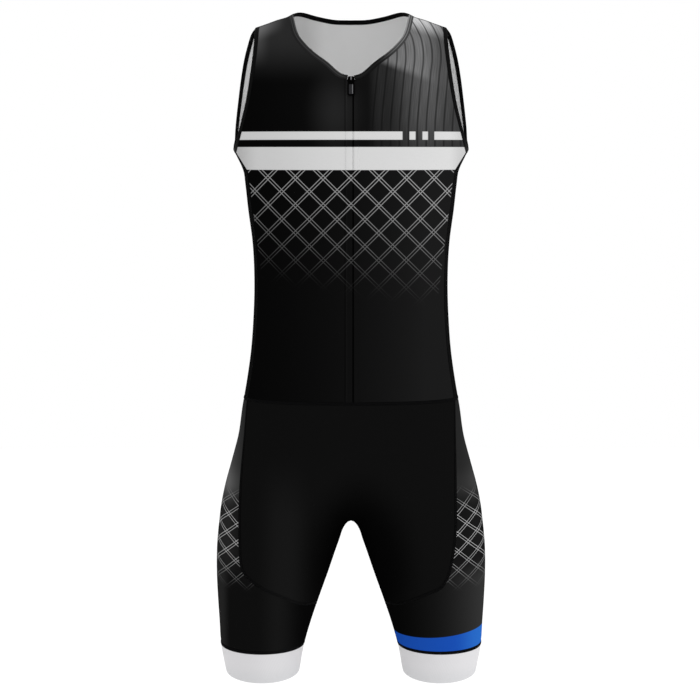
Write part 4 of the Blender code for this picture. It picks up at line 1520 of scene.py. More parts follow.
@dataclass(frozen=True)
class Lacquer:
    """Die-cast zinc under stoved lacquer, which hides the metal: a soft gloss, worn a little at random grains.
    """

    name: str
    shade: str
    rubbed: str
    roughness: float
    gloss: float = 0.06
    grain_scale: float = 900.0  # grains of about 1 mm
    rubbed_edges: Pair = (0.5, 0.75)
    rougher: Pair = (-0.06, 0.08)

    def make(self) -> Material:
        """The lacquer.

        Returns:
            The material.
        """
        tree = ShaderTree(self.name)
        place = tree.node("TexCoord", out="Object")
        grain = tree.node("TexNoise", place, None, self.grain_scale, 3.0, 0.6, out="Fac")
        rubbed = tree.node(RAMP, grain, *self.rubbed_edges)
        colour = tree.node(MIX, rubbed, linear(self.shade), linear(self.rubbed))
        rough = tree.node("MapRange", grain, 0.3, 0.7, *(self.roughness + step for step in self.rougher))
        return tree.finish(Base_Color=colour, Roughness=rough, Metallic=0.0, Specular_IOR_Level=self.gloss)


# ---- cloth --------------------------------------------------------------------------------------
@dataclass(frozen=True)
class Crease:
    """A soft trough in the cloth between two spots on one face, in millimetres."""

    face: Face
    start: Spot
    end: Spot
    width: float
    depth: float


CREASES = (
    Crease(Face.FRONT, Spot(14, -712), Spot(78, -648), 9.0, 1.3),
    Crease(Face.FRONT, Spot(24, -738), Spot(96, -700), 8.0, 1.1),
    Crease(Face.FRONT, Spot(6, -668), Spot(46, -622), 8.0, 0.8),
    Crease(Face.BACK, Spot(18, -735), Spot(92, -690), 9.0, 1.4),
    Crease(Face.BACK, Spot(10, -700), Spot(70, -640), 9.0, 1.1),
    Crease(Face.BACK, Spot(52, -850), Spot(120, -832), 8.0, 1.0),
    Crease(Face.FRONT, Spot(150, -222), Spot(104, -262), 9.0, 1.0),
    Crease(Face.BACK, Spot(150, -222), Spot(96, -276), 9.0, 1.2),
    Crease(Face.BACK, Spot(28, -428), Spot(104, -410), 12.0, 1.0),
    Crease(Face.BACK, Spot(36, -470), Spot(118, -446), 12.0, 0.9),
)


@dataclass
class Cloth:
    """All the cloth of the suit as one welded sheet, from which each piece is cut."""

    pattern: Pattern
    wall: float = 1.0
    seam_gap: float = 0.06
    seam_sink: float = 0.35
    on_the_middle: float = 0.05
    print_squeeze: float = 0.45
    creases: tuple[Crease, ...] = CREASES
    crease_fade: float = 0.6  # how much shallower a crease is at its end
    middle_depth: float = 4.0
    girth_steps: int = 16
    weld: float = 0.01
    index: dict[tuple[int, ...], int] = field(default_factory=dict)
    points: list[Array] | Array = field(default_factory=list)
    normals: Array = field(default_factory=lambda: np.zeros((0, 3)))
    cells: dict[str, list[list[int]]] = field(default_factory=dict)
    flat: dict[str, list[list[Pair]]] = field(default_factory=dict)

    def point(self, spot: Array) -> int:
        """The number of a point; spots that coincide share it.

        Args:
            spot: Its place, in millimetres.

        Returns:
            The number.
        """
        if abs(spot[0]) < self.on_the_middle:
            spot = spot * np.array([0, 1, 1])
        key = tuple(int(round(value / self.weld)) for value in spot)
        if key not in self.index:
            self.index[key] = len(self.points)
            self.points.append(np.array(spot, float))
        return self.index[key]

    def girth(self, turn: Array, level: Array, origin: float, printed: bool) -> Array:
        """Length of the cloth round its section from an origin turn, with its sign.

        Where the print was laid on from the front, a length counts by what shows from there.

        Args:
            turn: Turns round the section.
            level: Levels.
            origin: The turn to measure from.
            printed: Whether the print was laid on from the front.

        Returns:
            The lengths.
        """
        part = np.linspace(0.0, 1.0, self.girth_steps + 1)
        turns = origin + (turn[..., None] - origin) * part
        line = self.pattern.form.at(turns, np.broadcast_to(level[..., None], turns.shape))
        parts = np.diff(line, axis=-2)
        length = np.linalg.norm(parts, axis=-1)
        if printed:
            length = np.maximum(np.abs(parts[..., 0]), length * self.print_squeeze)
        return length.sum(axis=-1) * np.sign(turn - origin)

    def add(self, piece: str, patch: Array, side: Side, origin: float) -> None:
        """Lays one patch of the pattern on the form.

        Args:
            piece: The name of the piece that it belongs to.
            patch: A grid of turns and levels.
            side: The side of the wearer.
            origin: The turn from which distances across the cloth are measured.
        """
        form = self.pattern.form
        turn, level = patch[..., 0], patch[..., 1]
        grid = form.at(turn, level) * np.array([side.value, 1, 1])
        numbers = [[self.point(spot) for spot in row] for row in grid]
        cut = form.section(level)
        hub = np.stack([side.value * (cut.outer + cut.inner) / 2, cut.middle, grid[..., 2]], axis=-1)
        girth = self.girth(turn, level, origin, piece.startswith("leg"))
        flat = np.stack([side.value * girth, level], axis=-1)
        cells, places = self.cells.setdefault(piece, []), self.flat.setdefault(piece, [])
        for i in range(len(numbers) - 1):
            for j in range(len(numbers[0]) - 1):
                spots = ((i, j), (i, j + 1), (i + 1, j + 1), (i + 1, j))
                ring = [(spot, numbers[spot[0]][spot[1]]) for spot in spots]
                spots = [spot for k, (spot, number) in enumerate(ring) if number != ring[k - 1][1]]
                corners = np.array([grid[s] for s in spots])
                normal = np.cross(corners[2] - corners[0], corners[-1] - corners[1])
                if np.dot(normal, corners.mean(axis=0) - hub[i, j]) < 0:
                    spots.reverse()
                cells.append([numbers[a][b] for a, b in spots])
                places.append([tuple(flat[s]) for s in spots])

    def lay_out(self) -> None:
        """Lays out every piece of the pattern and works out the way out of the cloth."""
        pattern = self.pattern
        for side in Side:
            laid = (
                (f"front_{side.word}", pattern.upper_front(side), -90.0),
                ("back", pattern.upper_back(), 90.0),
                ("shorts_front", pattern.shorts_half(side, Face.FRONT), -90.0),
                ("shorts_back", pattern.shorts_half(side, Face.BACK), 90.0),
                (f"leg_{side.word}", pattern.leg_patches(side), 0.0),
                (f"cuff_{side.word}", pattern.cuff_patch(), 0.0),
            )
            for piece, patches, origin in laid:
                for patch in patches:
                    self.add(piece, patch, side, origin)
        self.points = np.array(self.points)
        self.normals = np.zeros_like(self.points)
        for cells in self.cells.values():
            for cell in cells:
                corners = self.points[cell]
                self.normals[cell] += np.cross(corners[2] - corners[0], corners[-1] - corners[1])
        self.normals /= np.linalg.norm(self.normals, axis=1)[:, None]
        self.points = self.points - self.normals * self.trough(self.points)[:, None]

    def trough(self, points: Array) -> Array:
        """How deep the creases are at each point.

        Args:
            points: The points.

        Returns:
            The depths.
        """
        depth = np.zeros(len(points))
        spots = np.stack([np.abs(points[:, 0]), points[:, 2]], axis=-1)
        for crease in self.creases:
            start = np.array([crease.start.across, crease.start.height])
            way = np.array([crease.end.across, crease.end.height]) - start
            part = np.clip((spots - start) @ way / (way @ way), 0.0, 1.0)
            away = np.linalg.norm(spots - start - part[:, None] * way, axis=1)
            here = np.sign(points[:, 1] - self.middle_depth) == crease.face.value
            fade = 1 - self.crease_fade * part
            depth += here * crease.depth * np.exp(-((away / crease.width) ** 2)) * fade
        return depth

    def free_edges(self, pieces: list[str]) -> dict[int, int]:
        """The edges of some pieces, each from its first point to its second.

        Args:
            pieces: The pieces' names.

        Returns:
            The second point by the first.
        """
        cells = [cell for piece in pieces for cell in self.cells[piece]]
        edges = {(cell[k - 1], cell[k]) for cell in cells for k in range(len(cell))}
        return {a: b for a, b in edges if (b, a) not in edges}

    def loop(self, pieces: list[str], near: Triple) -> list[int]:
        """The points round the edge of some pieces that comes nearest a spot, in order.

        Args:
            pieces: The pieces' names.
            near: The spot.

        Returns:
            The numbers of the points.
        """
        edges = self.free_edges(pieces)
        start = min(edges, key=lambda point: np.linalg.norm(self.points[point] - np.array(near)))
        route = [start]
        while edges[route[-1]] != start:
            route.append(edges[route[-1]])
        return route

    def shared(self, first: str, second: str) -> list[list[int]]:
        """The runs of points along which two pieces meet.

        Args:
            first: One piece's name.
            second: The other's name.

        Returns:
            The runs, as numbers of points.
        """
        ours, theirs = self.free_edges([first]), self.free_edges([second])
        after = {a: b for a, b in ours.items() if theirs.get(b) == a}
        runs = []
        for start in set(after) - set(after.values()):
            run = [start]
            while run[-1] in after:
                run.append(after[run[-1]])
            runs.append(run)
        return runs

    def cut(self, piece: str, outer: Material, inner: Material) -> Object:
        """Cuts one piece out of the sheet as a thin shell with its edges turned in a little.

        Args:
            piece: The piece's name, which is also its solid's.
            outer: The material of its face.
            inner: The material of its reverse.

        Returns:
            The new object.
        """
        cells = self.cells[piece]
        edges = self.free_edges([piece])
        before = {b: a for a, b in edges.items()}
        numbers = sorted({point for cell in cells for point in cell})
        order = {point: k for k, point in enumerate(numbers)}
        normals = self.normals[numbers]
        outside = self.points[numbers].copy()
        for point, after in edges.items():
            way = self.points[after] - self.points[before[point]]
            inward = np.cross(self.normals[point], way / np.linalg.norm(way))
            outside[order[point]] += inward * self.seam_gap / 2 - self.normals[point] * self.seam_sink
        inside = self.points[numbers] - normals * self.wall
        count = len(numbers)
        faces = [[order[point] for point in cell] for cell in cells]
        faces += [[order[point] + count for point in reversed(cell)] for cell in cells]
        faces += [[order[b], order[a], order[a] + count, order[b] + count] for a, b in edges.items()]
        rims = [[(0.0, level) for level in (0.0, 0.0, self.wall, self.wall)]] * len(edges)
        flat = self.flat[piece] + [cell[::-1] for cell in self.flat[piece]] + rims
        slots = [0] * len(cells) + [1] * len(cells) + [0] * len(edges)
        made = mesh_object(f"{piece}_cloth", np.concatenate([outside, inside]), faces, [outer, inner], slots)
        lay_flat(made, flat)
        return made


def mesh_object(
    name: str,
    points: Array,
    faces: list[list[int]],
    materials: list[Material],
    slots: list[int] | None = None,
    sharp: float = 50.0,
) -> Object:
    """A new object from points in millimetres and faces.

    Args:
        name: The object's name.
        points: Its points.
        faces: Its faces, as numbers of points.
        materials: Its materials.
        slots: The material's number for each face.
        sharp: Edges that turn by more than this many degrees stay sharp.

    Returns:
        The object, in the scene.
    """
    mesh = bpy.data.meshes.new(name)
    mesh.from_pydata((np.asarray(points, float) * MM).tolist(), [], faces)
    for material in materials:
        mesh.materials.append(material)
    if slots is not None:
        mesh.polygons.foreach_set("material_index", slots)
    return shown(mesh, sharp)


def shown(mesh: bpy.types.Mesh, sharp: float) -> Object:
    """Shades a mesh smooth and puts it in the scene.

    Args:
        mesh: The mesh.
        sharp: Edges that turn by more than this many degrees stay sharp.

    Returns:
        Its object, of the same name.
    """
    mesh.shade_smooth()
    mesh.set_sharp_from_angle(angle=math.radians(sharp))
    made = bpy.data.objects.new(mesh.name, mesh)
    bpy.context.scene.collection.objects.link(made)
    return made


def lay_flat(made: Object, flat: list[list[Pair]]) -> None:
    """Writes each corner's place on the flat pattern to the UV map that finishes read, in metres."""
    values = np.array([spot for cell in flat for spot in cell], float) * MM
    made.data.uv_layers.new(name="pattern").uv.foreach_set("vector", values.ravel())


def dress(made: Object, slot: str, *nodes: str, body: str = "suit") -> Object:
    """Hangs a piece on its body and hides the solids that it replaces.

    Args:
        made: The piece.
        slot: The name of a material slot; not used.
        nodes: The solids that it stands for.
        body: The body that it moves with.

    Returns:
        The piece.
    """
    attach(made, body)
    if nodes:
        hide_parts(*nodes)
    log.info("%s: %d faces", made.name, len(made.data.polygons))
    return made


@dataclass(frozen=True)
class Flat:
    """The cut of a piece as it shows, in metres and square metres."""

    width: float
    length: float
    area: float


@dataclass(frozen=True)
class ClothPiece:
    """One sewn piece: its solid, its finish and its cut."""

    node: str
    slot: str
    finish: str
    flat: Flat
    rests_on: tuple[str, ...]


LEGS = ("leg_right", "leg_left")
CLOTH_PIECES = (
    ClothPiece("front_right", "black_jersey", "chest", Flat(0.200, 0.560, 0.083), ("back",)),
    ClothPiece("front_left", "black_jersey", "chest", Flat(0.196, 0.560, 0.080), ("back",)),
    ClothPiece("back", "black_jersey", "plain", Flat(0.500, 0.570, 0.236), ("front_right", "front_left")),
    ClothPiece("shorts_front", "black_jersey", "plain", Flat(0.400, 0.330, 0.098), LEGS),
    ClothPiece("shorts_back", "black_jersey", "plain", Flat(0.420, 0.340, 0.101), LEGS),
    ClothPiece("leg_right", "black_jersey", "leg", Flat(0.420, 0.375, 0.078), ("shorts_front",)),
    ClothPiece("leg_left", "black_jersey", "leg_banded", Flat(0.420, 0.375, 0.078), ("shorts_front",)),
    ClothPiece("cuff_right", "white_gripper", "cuff", Flat(0.395, 0.046, 0.016), ("leg_right",)),
    ClothPiece("cuff_left", "white_gripper", "cuff", Flat(0.395, 0.046, 0.016), ("leg_left",)),
)


# ---- sewing -------------------------------------------------------------------------------------
@dataclass
class Route:
    """A line on the cloth with the way out of it and the way across it at each point."""

    points: Array
    normals: Array
    closed: bool = False

    def opened(self) -> "Route":
        """The same line, with the start of a closed one repeated at its end."""
        again = int(self.closed)
        return Route(*(np.concatenate([rows, rows[:again]]) for rows in (self.points, self.normals)))

    def run(self) -> Array:
        """The length of the line up to each point."""
        return np.concatenate([[0.0], np.cumsum(np.linalg.norm(np.diff(self.points, axis=0), axis=1))])

    def read(self, marks: Array, closed: bool = False) -> "Route":
        """The line's places at some lengths along it.

        Args:
            marks: The lengths.
            closed: Whether the last place meets the first.

        Returns:
            The new line.
        """
        run = self.run()
        spots, ways = (
            np.stack([np.interp(marks, run, rows[:, k]) for k in range(3)], axis=-1)
            for rows in (self.points, self.normals)
        )
        return Route(spots, ways / np.linalg.norm(ways, axis=1)[:, None], closed)

    def resampled(self, pitch: float) -> "Route":
        """The same line with points a pitch apart.

        Args:
            pitch: The pitch, in millimetres.

        Returns:
            The new line.
        """
        line = self.opened()
        length = line.run()[-1]
        count = max(int(length / pitch), 2)
        marks = np.linspace(0.0, length, count + 1)[: count if self.closed else count + 1]
        return line.read(marks, self.closed)

    def trimmed(self, first: float, last: float) -> "Route":
        """The line cut back at each end.

        Args:
            first: The length to cut from its start.
            last: The length to cut from its end.

        Returns:
            The shorter line.
        """
        run = self.run()
        inside = run[(run > first) & (run < run[-1] - last)]
        line = self.read(np.concatenate([[first], inside, [run[-1] - last]]))
        line.normals[0], line.normals[-1] = line.normals[1], line.normals[-2]
        return line

    def across(self) -> Array:
        """The way across the line, in the cloth, at each point.

        Returns:
            The directions.
        """
        if self.closed:
            ahead = np.roll(self.points, -1, axis=0) - np.roll(self.points, 1, axis=0)
        else:
            ahead = np.gradient(self.points, axis=0)
        ways = np.cross(ahead, self.normals)
        return ways / np.linalg.norm(ways, axis=1)[:, None]

    def beside(self, away: float, lift: float) -> "Route":
        """A line beside this one on the cloth, lifted off it."""
        return Route(self.points + self.across() * away + self.normals * lift, self.normals, self.closed)

    def between(self, start: int, end: int) -> "Route":
        """A part of the line."""
        return Route(self.points[start:end], self.normals[start:end])


@dataclass
class StitchMesh:
    """Collects sewn threads into one mesh."""

    thickness: float = 0.38
    arch: tuple[Triple, ...] = ((0.0, 0.55, -0.5), (0.5, 1.0, 1.0), (1.0, 0.55, -0.5))
    points: list[Array] = field(default_factory=list)
    faces: list[Array] = field(default_factory=list)
    count: int = 0

    def threads(self, starts: Array, ends: Array, out: Array, rise: float) -> None:
        """Adds one thread between each start and end, arched over the cloth.

        Args:
            starts: Where the threads come up.
            ends: Where they go down.
            out: The way out of the cloth at each.
            rise: How high the middle of a thread stands over its ends.
        """
        ahead = ends - starts
        ahead = ahead / np.linalg.norm(ahead, axis=1)[:, None]
        side = np.cross(ahead, out)
        side /= np.linalg.norm(side, axis=1)[:, None]
        rings = []
        for part, swell, lift in self.arch:  # place along, share of the thickness, and of the rise
            centre = starts + (ends - starts) * part + out * (rise * lift)
            for turn in (0.0, math.pi / 2, math.pi, 3 * math.pi / 2):
                radius = self.thickness / 2 * swell
                rings.append(centre + side * (radius * math.cos(turn)) + out * (radius * math.sin(turn)))
        cloud = np.stack(rings, axis=1)
        quads = []
        for ring in (0, 4):
            for k in range(4):
                after = (k + 1) % 4
                quads.append([ring + k, ring + 4 + k, ring + 4 + after, ring + after])
        quads += [[0, 1, 2, 3], [11, 10, 9, 8]]
        base = self.count + np.arange(len(starts))[:, None, None] * 12
        self.faces.append((base + np.array(quads)[None]).reshape(-1, 4))
        self.points.append(cloud.reshape(-1, 3))
        self.count += len(starts) * 12

    def row(self, route: Route, pitch: float, share: float = 0.78, rise: float = 0.12) -> None:
        """Adds a row of plain stitches along a line.

        Args:
            route: The line.
            pitch: From one stitch to the next.
            share: How much of the pitch the thread covers.
            rise: How high a stitch stands.
        """
        line = route.resampled(pitch)
        points = np.concatenate([line.points, line.points[:1]]) if line.closed else line.points
        starts = points[:-1]
        ends = starts + (points[1:] - starts) * share
        self.threads(starts, ends, line.normals[: len(starts)], rise)

    def zigzag(self, route: Route, pitch: float, half_width: float) -> None:
        """Adds the cover threads that cross a flatlock seam to and fro.

        Args:
            route: The middle of the seam.
            pitch: From one crossing to the next.
            half_width: How far the threads reach on each side.
        """
        line = route.resampled(pitch)
        signs = np.where(np.arange(len(line.points)) % 2 == 0, 1.0, -1.0)[:, None]
        points = line.points + line.across() * half_width * signs
        self.threads(points[:-1], points[1:], line.normals[:-1], 0.1)

    def finish(self, name: str, material: Material) -> Object:
        """Makes the mesh."""
        faces = np.concatenate(self.faces).tolist()
        return mesh_object(name, np.concatenate(self.points), faces, [material], sharp=180.0)


@dataclass(frozen=True)
class Flatlock:
    """A flatlock seam: two butted edges under a low ridge of cover threads, in millimetres."""

    half_width: float = 1.9
    pitch: float = 2.6
    cover_pitch: float = 1.3
    ridge: float = 0.22
    hollow_share: float = 0.7  # height of the dip between the two crests
    crest: float = 0.9  # from the middle to a crest
    rim: Pair = (0.8, 0.35)  # how far the sunk rim reaches, across and down
    foot: float = 0.02
    row_at: Pair = (0.78, 0.8)  # where the rows of thread lie, as shares of width and height
    cover_reach: float = 0.62

    def ridge_mesh(self, name: str, routes: list[Route], material: Material) -> Object:
        """The low band of cloth edges under the threads.

        Args:
            name: The object's name.
            routes: The lines that it follows.
            material: Its finish.

        Returns:
            The band.
        """
        reach, sunk = self.rim
        half = ((self.crest, self.ridge), (self.half_width, self.foot), (self.half_width + reach, -sunk))
        mirrored = tuple((-across, lift) for across, lift in reversed(half))
        profile = mirrored + ((0.0, self.ridge * self.hollow_share),) + half + ((0.0, -self.crest),)
        points, faces = [], []
        for route in routes:
            rings = sweep_rings(route, profile)
            faces += skin(rings.shape[0], rings.shape[1], route.closed, len(points))
            points += rings.reshape(-1, 3).tolist()
        made = mesh_object(name, np.array(points), faces, [material])
        lay_flat(made, [[(0.0, 0.0)] * len(face) for face in faces])
        return made

    def sew(self, name: str, routes: list[Route], cloth: Material, thread: Material) -> None:
        """Sews one seam or a set of like seams.

        Args:
            name: The seam's name.
            routes: The lines that it follows.
            cloth: The finish of the ridge.
            thread: The finish of the threads.
        """
        dress(self.ridge_mesh(f"{name}_seam_ridge", routes, cloth), "black_jersey")
        stitches = StitchMesh()
        away, lift = self.half_width * self.row_at[0], self.ridge * self.row_at[1]
        for route in routes:
            for way in (-1, 1):
                stitches.row(route.beside(way * away, lift), self.pitch)
            cover = self.half_width * self.cover_reach
            stitches.zigzag(route.beside(0.0, self.ridge), self.cover_pitch, cover)
        dress(stitches.finish(f"{name}_seam_threads", thread), "black_jersey")


def sweep_rings(route: Route, profile: tuple[Pair, ...]) -> Array:
    """The profile's points, across and out, at each point of a route."""
    across = route.across()
    return np.stack([route.points + across * a + route.normals * b for a, b in profile], axis=1)


def skin(count: int, size: int, closed: bool, base: int = 0, caps: bool = True) -> list[list[int]]:
    """Faces between rings of points that follow one another.

    Args:
        count: How many rings.
        size: Points in a ring.
        closed: Whether the last ring meets the first.
        base: The number of the first point.
        caps: Whether open ends are closed by a face.

    Returns:
        The faces.
    """
    faces = []
    for k in range(count if closed else count - 1):
        here, there = base + k * size, base + (k + 1) % count * size
        for j in range(size):
            after = (j + 1) % size
            faces.append([here + j, there + j, there + after, here + after])
    if caps and not closed:
        last = base + (count - 1) * size
        faces += [[base + j for j in range(size)], [last + j for j in reversed(range(size))]]
    return faces


@dataclass(frozen=True)
class Sewing:
    """Every seam of the suit, found where two pieces of cloth meet."""

    cloth: Cloth
    flatlock: Flatlock = Flatlock()
    waist_spot: Triple = (0.0, -97.0, -545.0)
    cuff_spot: Triple = (130.0, -66.0, -906.0)

    def route(self, run: list[int], closed: bool = False) -> Route:
        """A run of the cloth's points as a route."""
        return Route(self.cloth.points[run], self.cloth.normals[run], closed)

    def meeting(self, *pairs: tuple[str, str]) -> list[Route]:
        """The routes along which pairs of pieces meet."""
        return [self.route(run) for pair in pairs for run in self.cloth.shared(*pair)]

    def inside_leg(self, side: Side) -> Route:
        """The join down the inner leg, from the thigh seam to the cuff.

        Args:
            side: The wearer's side.

        Returns:
            The line.
        """
        pattern = self.cloth.pattern
        levels = np.linspace(pattern.thigh_seam_inside - 2.0, pattern.cuff_seam[0] + 2.0, 30)
        points = pattern.form.at(-180.0, levels) * np.array([side.value, 1, 1])
        normals = np.tile([-float(side.value), 0.0, 0.0], (len(levels), 1))
        return Route(points, normals)

    def sew(self, cloth: Material, thread: Material) -> None:
        """Sews every seam.

        Args:
            cloth: The finish of the ridges.
            thread: The finish of the threads.
        """
        lower = ["shorts_front", "shorts_back", "leg_right", "leg_left"]
        waist = self.route(self.cloth.loop(lower, self.waist_spot), closed=True)
        sides = ("right", "left")
        seams = {
            "waist": [waist],
            "side": self.meeting(*((f"front_{s}", "back") for s in sides)),
            "hip": self.meeting(*((p, f"leg_{s}") for p in ("shorts_front", "shorts_back") for s in sides)),
            "inner_leg": self.meeting(("shorts_front", "shorts_back")) + [self.inside_leg(s) for s in Side],
        }
        for name, routes in seams.items():
            self.flatlock.sew(name, routes, cloth, thread)
        across, depth, height = self.cuff_spot
        for side in Side:
            cuff = self.cloth.loop([f"cuff_{side.word}"], (across * side.value, depth, height))
            self.flatlock.sew(f"cuff_{side.word}", [self.route(cuff, closed=True)], cloth, thread)


@dataclass(frozen=True)
class Binding:
    """Elastic tape folded over an edge of the cloth and sewn down in two rows, in millimetres."""

    width: float
    wall: float = 2.3
    lap: float = 0.9
    pitch: float = 2.4
    first_row: float = 0.9
    stitch_rise: float = 0.5
    stitch_width: float = 0.34
    top: float = 0.55  # the outer face over the cloth
    fold_turns: tuple[int, ...] = (0, 30, 60, 90, 120, 150, 180)

    def profile(self) -> tuple[Pair, ...]:
        """The folded tape's section: across from the seam to the fold, and out of the cloth.

        Returns:
            Pairs of places across and out.
        """
        top, bottom = self.top, self.top - self.wall
        middle, radius = (top + bottom) / 2, self.wall / 2
        over = ((-self.lap, -0.3), (-self.lap + 0.15, top - 0.15), (0.1, top + 0.1), (0.9, top - 0.12))
        crown = ((1.8, top + 0.08), (self.width - radius - 1.0, top + 0.05))
        fold = tuple(
            (self.width - radius + radius * math.sin(turn), middle + radius * math.cos(turn))
            for turn in np.radians(self.fold_turns)
        )
        return over + crown + fold + ((0.4, bottom + 0.05), (-self.lap, bottom + 0.3))

    def bind(self, name: str, route: Route, tape: Material, thread: Material) -> None:
        """Binds one edge.

        Args:
            name: The solid's name.
            route: The edge, with its way across pointing out of the cloth.
            tape: The tape's finish.
            thread: The stitches' finish.
        """
        profile = self.profile()
        rings = sweep_rings(route, profile)
        faces = skin(len(rings), len(profile), route.closed)
        made = mesh_object(f"{name}_tape", rings.reshape(-1, 3), faces, [tape], sharp=70.0)
        lay_flat(made, [[(profile[n % len(profile)][0], 0.0) for n in face] for face in faces])
        dress(made, "edge_tape", name)
        stitches = StitchMesh(thickness=self.stitch_width)
        for away in (self.first_row, self.first_row + self.pitch):
            stitches.row(route.beside(away, self.stitch_rise), self.pitch)
        dress(stitches.finish(f"{name}_threads", thread), "edge_tape")


@dataclass(frozen=True)
class Bindings:
    """The tape round the neck and both armholes."""

    cloth: Cloth
    neck: Binding = Binding(width=6.5)
    arm: Binding = Binding(width=5.5)
    zip_gaps: Pair = (3.5, 7.6)  # from the zip to the tape's left and right ends
    arm_across: float = 165.0
    neck_depth: float = -95.0

    def edge(self, near: Triple) -> Route:
        """The free edge nearest a spot, turned so that its way across points out of the cloth."""
        run = self.cloth.loop(list(self.cloth.cells), near)
        return Route(self.cloth.points[run], self.cloth.normals[run], closed=True)

    def bind(self, tape: Material, printed: Material, thread: Material) -> None:
        """Binds the three edges.

        Args:
            tape: The armholes' tape.
            printed: The neck's tape.
            thread: The stitches' finish.
        """
        bottom = self.cloth.pattern.armhole_bottom
        for side in Side:
            route = self.edge((side.value * self.arm_across, 0.0, bottom))
            self.arm.bind(f"armhole_binding_{side.word}", route, tape, thread)
        corner = self.cloth.pattern.neck_point
        ring = self.edge((corner.across, self.neck_depth, corner.height))
        left_first = ring.points[1][0] > ring.points[0][0]
        gaps = self.zip_gaps if left_first else self.zip_gaps[::-1]
        self.neck.bind("neck_binding", ring.opened().trimmed(*gaps), printed, thread)


# ---- zip ----------------------------------------------------------------------------------------
@dataclass(frozen=True)
class FrontZip:
    """The front zip: turned edges of the fronts, the coil and tape behind them, slider and pull."""

    form: BodyForm
    bottom: float = -543.0
    top: float = -93.5
    slit: float = 2.9  # where the fronts meet, across
    slit_half: float = 1.0
    right_fold: float = -8.2
    left_fold: float = 11.2
    fold_rise: float = 0.7
    tape_half: float = 12.0
    tape_depth: float = 2.0
    tape_wall: float = 1.2
    tooth_pitch: float = 1.5
    tooth_reach: float = 2.3
    tooth_wall: float = 0.9
    tooth_rise: float = 0.15
    tooth_root: float = 0.25
    tooth_depths: Pair = (1.35, 3.55)  # in the slit, and behind the tape
    fold_step: float = 5.0
    tape_step: float = 6.0
    stitch_in: float = 1.2
    stitch_pitch: float = 2.6
    stitch_width: float = 0.42
    stitch_share: float = 0.8  # where a stitch lies, as a share of the fold's height
    slider_top: float = -86.5
    slider_length: float = 14.0
    slider_outline: tuple[Pair, ...] = ((3.2, 0.0), (4.6, -1.2), (4.8, -5.5), (3.6, -13.0), (2.8, -14.0))
    bridge_outline: tuple[Pair, ...] = ((0.5, -0.1), (0.85, -0.5), (0.85, -5.0), (0.5, -5.6))
    bridge_height: float = 0.7
    bridge_soft: float = 0.25
    lug_radius: float = 1.5
    lug_wall: float = 1.1
    lug_away: float = 0.85
    lug_width: float = 2.7
    lug_soft: float = 0.25
    foot_gap: float = 0.4  # a lug's foot ends this far over the plate and under the pin
    foot_soft: float = 0.15
    slider_wall: float = 2.2
    slider_soft: float = 0.5
    stand_off: float = 0.8
    pin_down: float = 8.0
    pin_out: float = 2.2
    pin_radius: float = 0.55
    pin_length: float = 6.1
    eye_bore: float = 0.95
    eye_radius: float = 1.5
    eye_width: float = 4.0
    pull_lean: float = 9.5
    pull_wall: float = 1.6
    pull_soft: float = 0.3
    pull_outline: tuple[Pair, ...] = (
        (1.7, -1.35), (1.9, -2.4), (4.2, -4.0), (5.0, -5.2), (5.0, -18.4), (4.4, -19.7), (2.8, -20.5),
    )
    inlay_outline: tuple[Pair, ...] = ((2.6, -4.8), (3.0, -5.3), (3.0, -18.0), (2.6, -18.5))
    ridge_outline: tuple[Pair, ...] = ((0.36, -5.2), (0.48, -5.5), (0.48, -17.6), (0.36, -17.9))
    ridge_across: float = 2.0
    inlay_walls: Pair = (0.3, 0.22)  # under and over the face of the tab
    inlay_soft: float = 0.16
    ridge_rise: float = 0.5
    ridge_soft: float = 0.18

    def levels(self, step: float) -> Array:
        """Heights down the zip, a step apart."""
        return np.arange(self.bottom, self.top + step / 2, step)

    def strip(self, name: str, profile: list[Pair], step: float, material: Material, turned: bool) -> Object:
        """A closed band down the zip.

        Args:
            name: Its name.
            profile: Its section: places across the zip, and heights over the cloth.
            step: From one row of its points to the next.
            material: Its finish.
            turned: Whether the profile runs the other way round.

        Returns:
            The band.
        """
        heights = self.levels(step)
        rings, flats = [], []
        for across, lift in profile:
            points, normals = self.form.front_frame(across, heights)
            rings.append(points + normals * lift)
            flats.append(np.stack([np.full(len(heights), across), heights], axis=-1))
        cloud, flat = np.stack(rings, axis=1), np.stack(flats, axis=1).reshape(-1, 2)
        faces = skin(len(heights), len(profile), closed=False)
        if turned:
            faces = [face[::-1] for face in faces]
        made = mesh_object(name, cloud.reshape(-1, 3), faces, [material], sharp=60.0)
        lay_flat(made, [[tuple(flat[n]) for n in face] for face in faces])
        return made

    def fold(self, side: Side, material: Material) -> None:
        """The turned edge of one front beside the slit, a little proud of the cloth.

        Args:
            side: The wearer's side.
            material: The fronts' finish.
        """
        near = self.slit + side.value * self.slit_half
        far = self.right_fold if side is Side.RIGHT else self.left_fold
        way = 1 if far > near else -1
        width, rise = abs(far - near), self.fold_rise
        steps = (
            (0.0, -1.1), (0.0, rise * 0.4), (0.35, rise), (1.2, rise * 1.1), (width * 0.5, rise * 0.95),
            (width - 2.2, rise), (width - 1.3, rise * 0.75), (width - 0.6, rise * 0.6), (width, 0.0),
            (width, -0.4),
        )
        profile = [(near + way * away, lift) for away, lift in steps]
        name = f"front_{side.word}_turned_edge"
        made = self.strip(name, profile, self.fold_step, material, side is Side.LEFT)
        dress(made, "black_jersey")

    def topstitch(self, thread: Material) -> None:
        """The row of stitches that holds each turned edge; the print runs over it.

        Args:
            thread: The stitches' finish.
        """
        stitches = StitchMesh(thickness=self.stitch_width)
        for across in (self.right_fold + self.stitch_in, self.left_fold - self.stitch_in):
            points, normals = self.form.front_frame(across, self.levels(self.fold_step))
            line = Route(points, normals).beside(0.0, self.fold_rise * self.stitch_share)
            stitches.row(line, self.stitch_pitch)
        dress(stitches.finish("zip_topstitching", thread), "black_jersey")

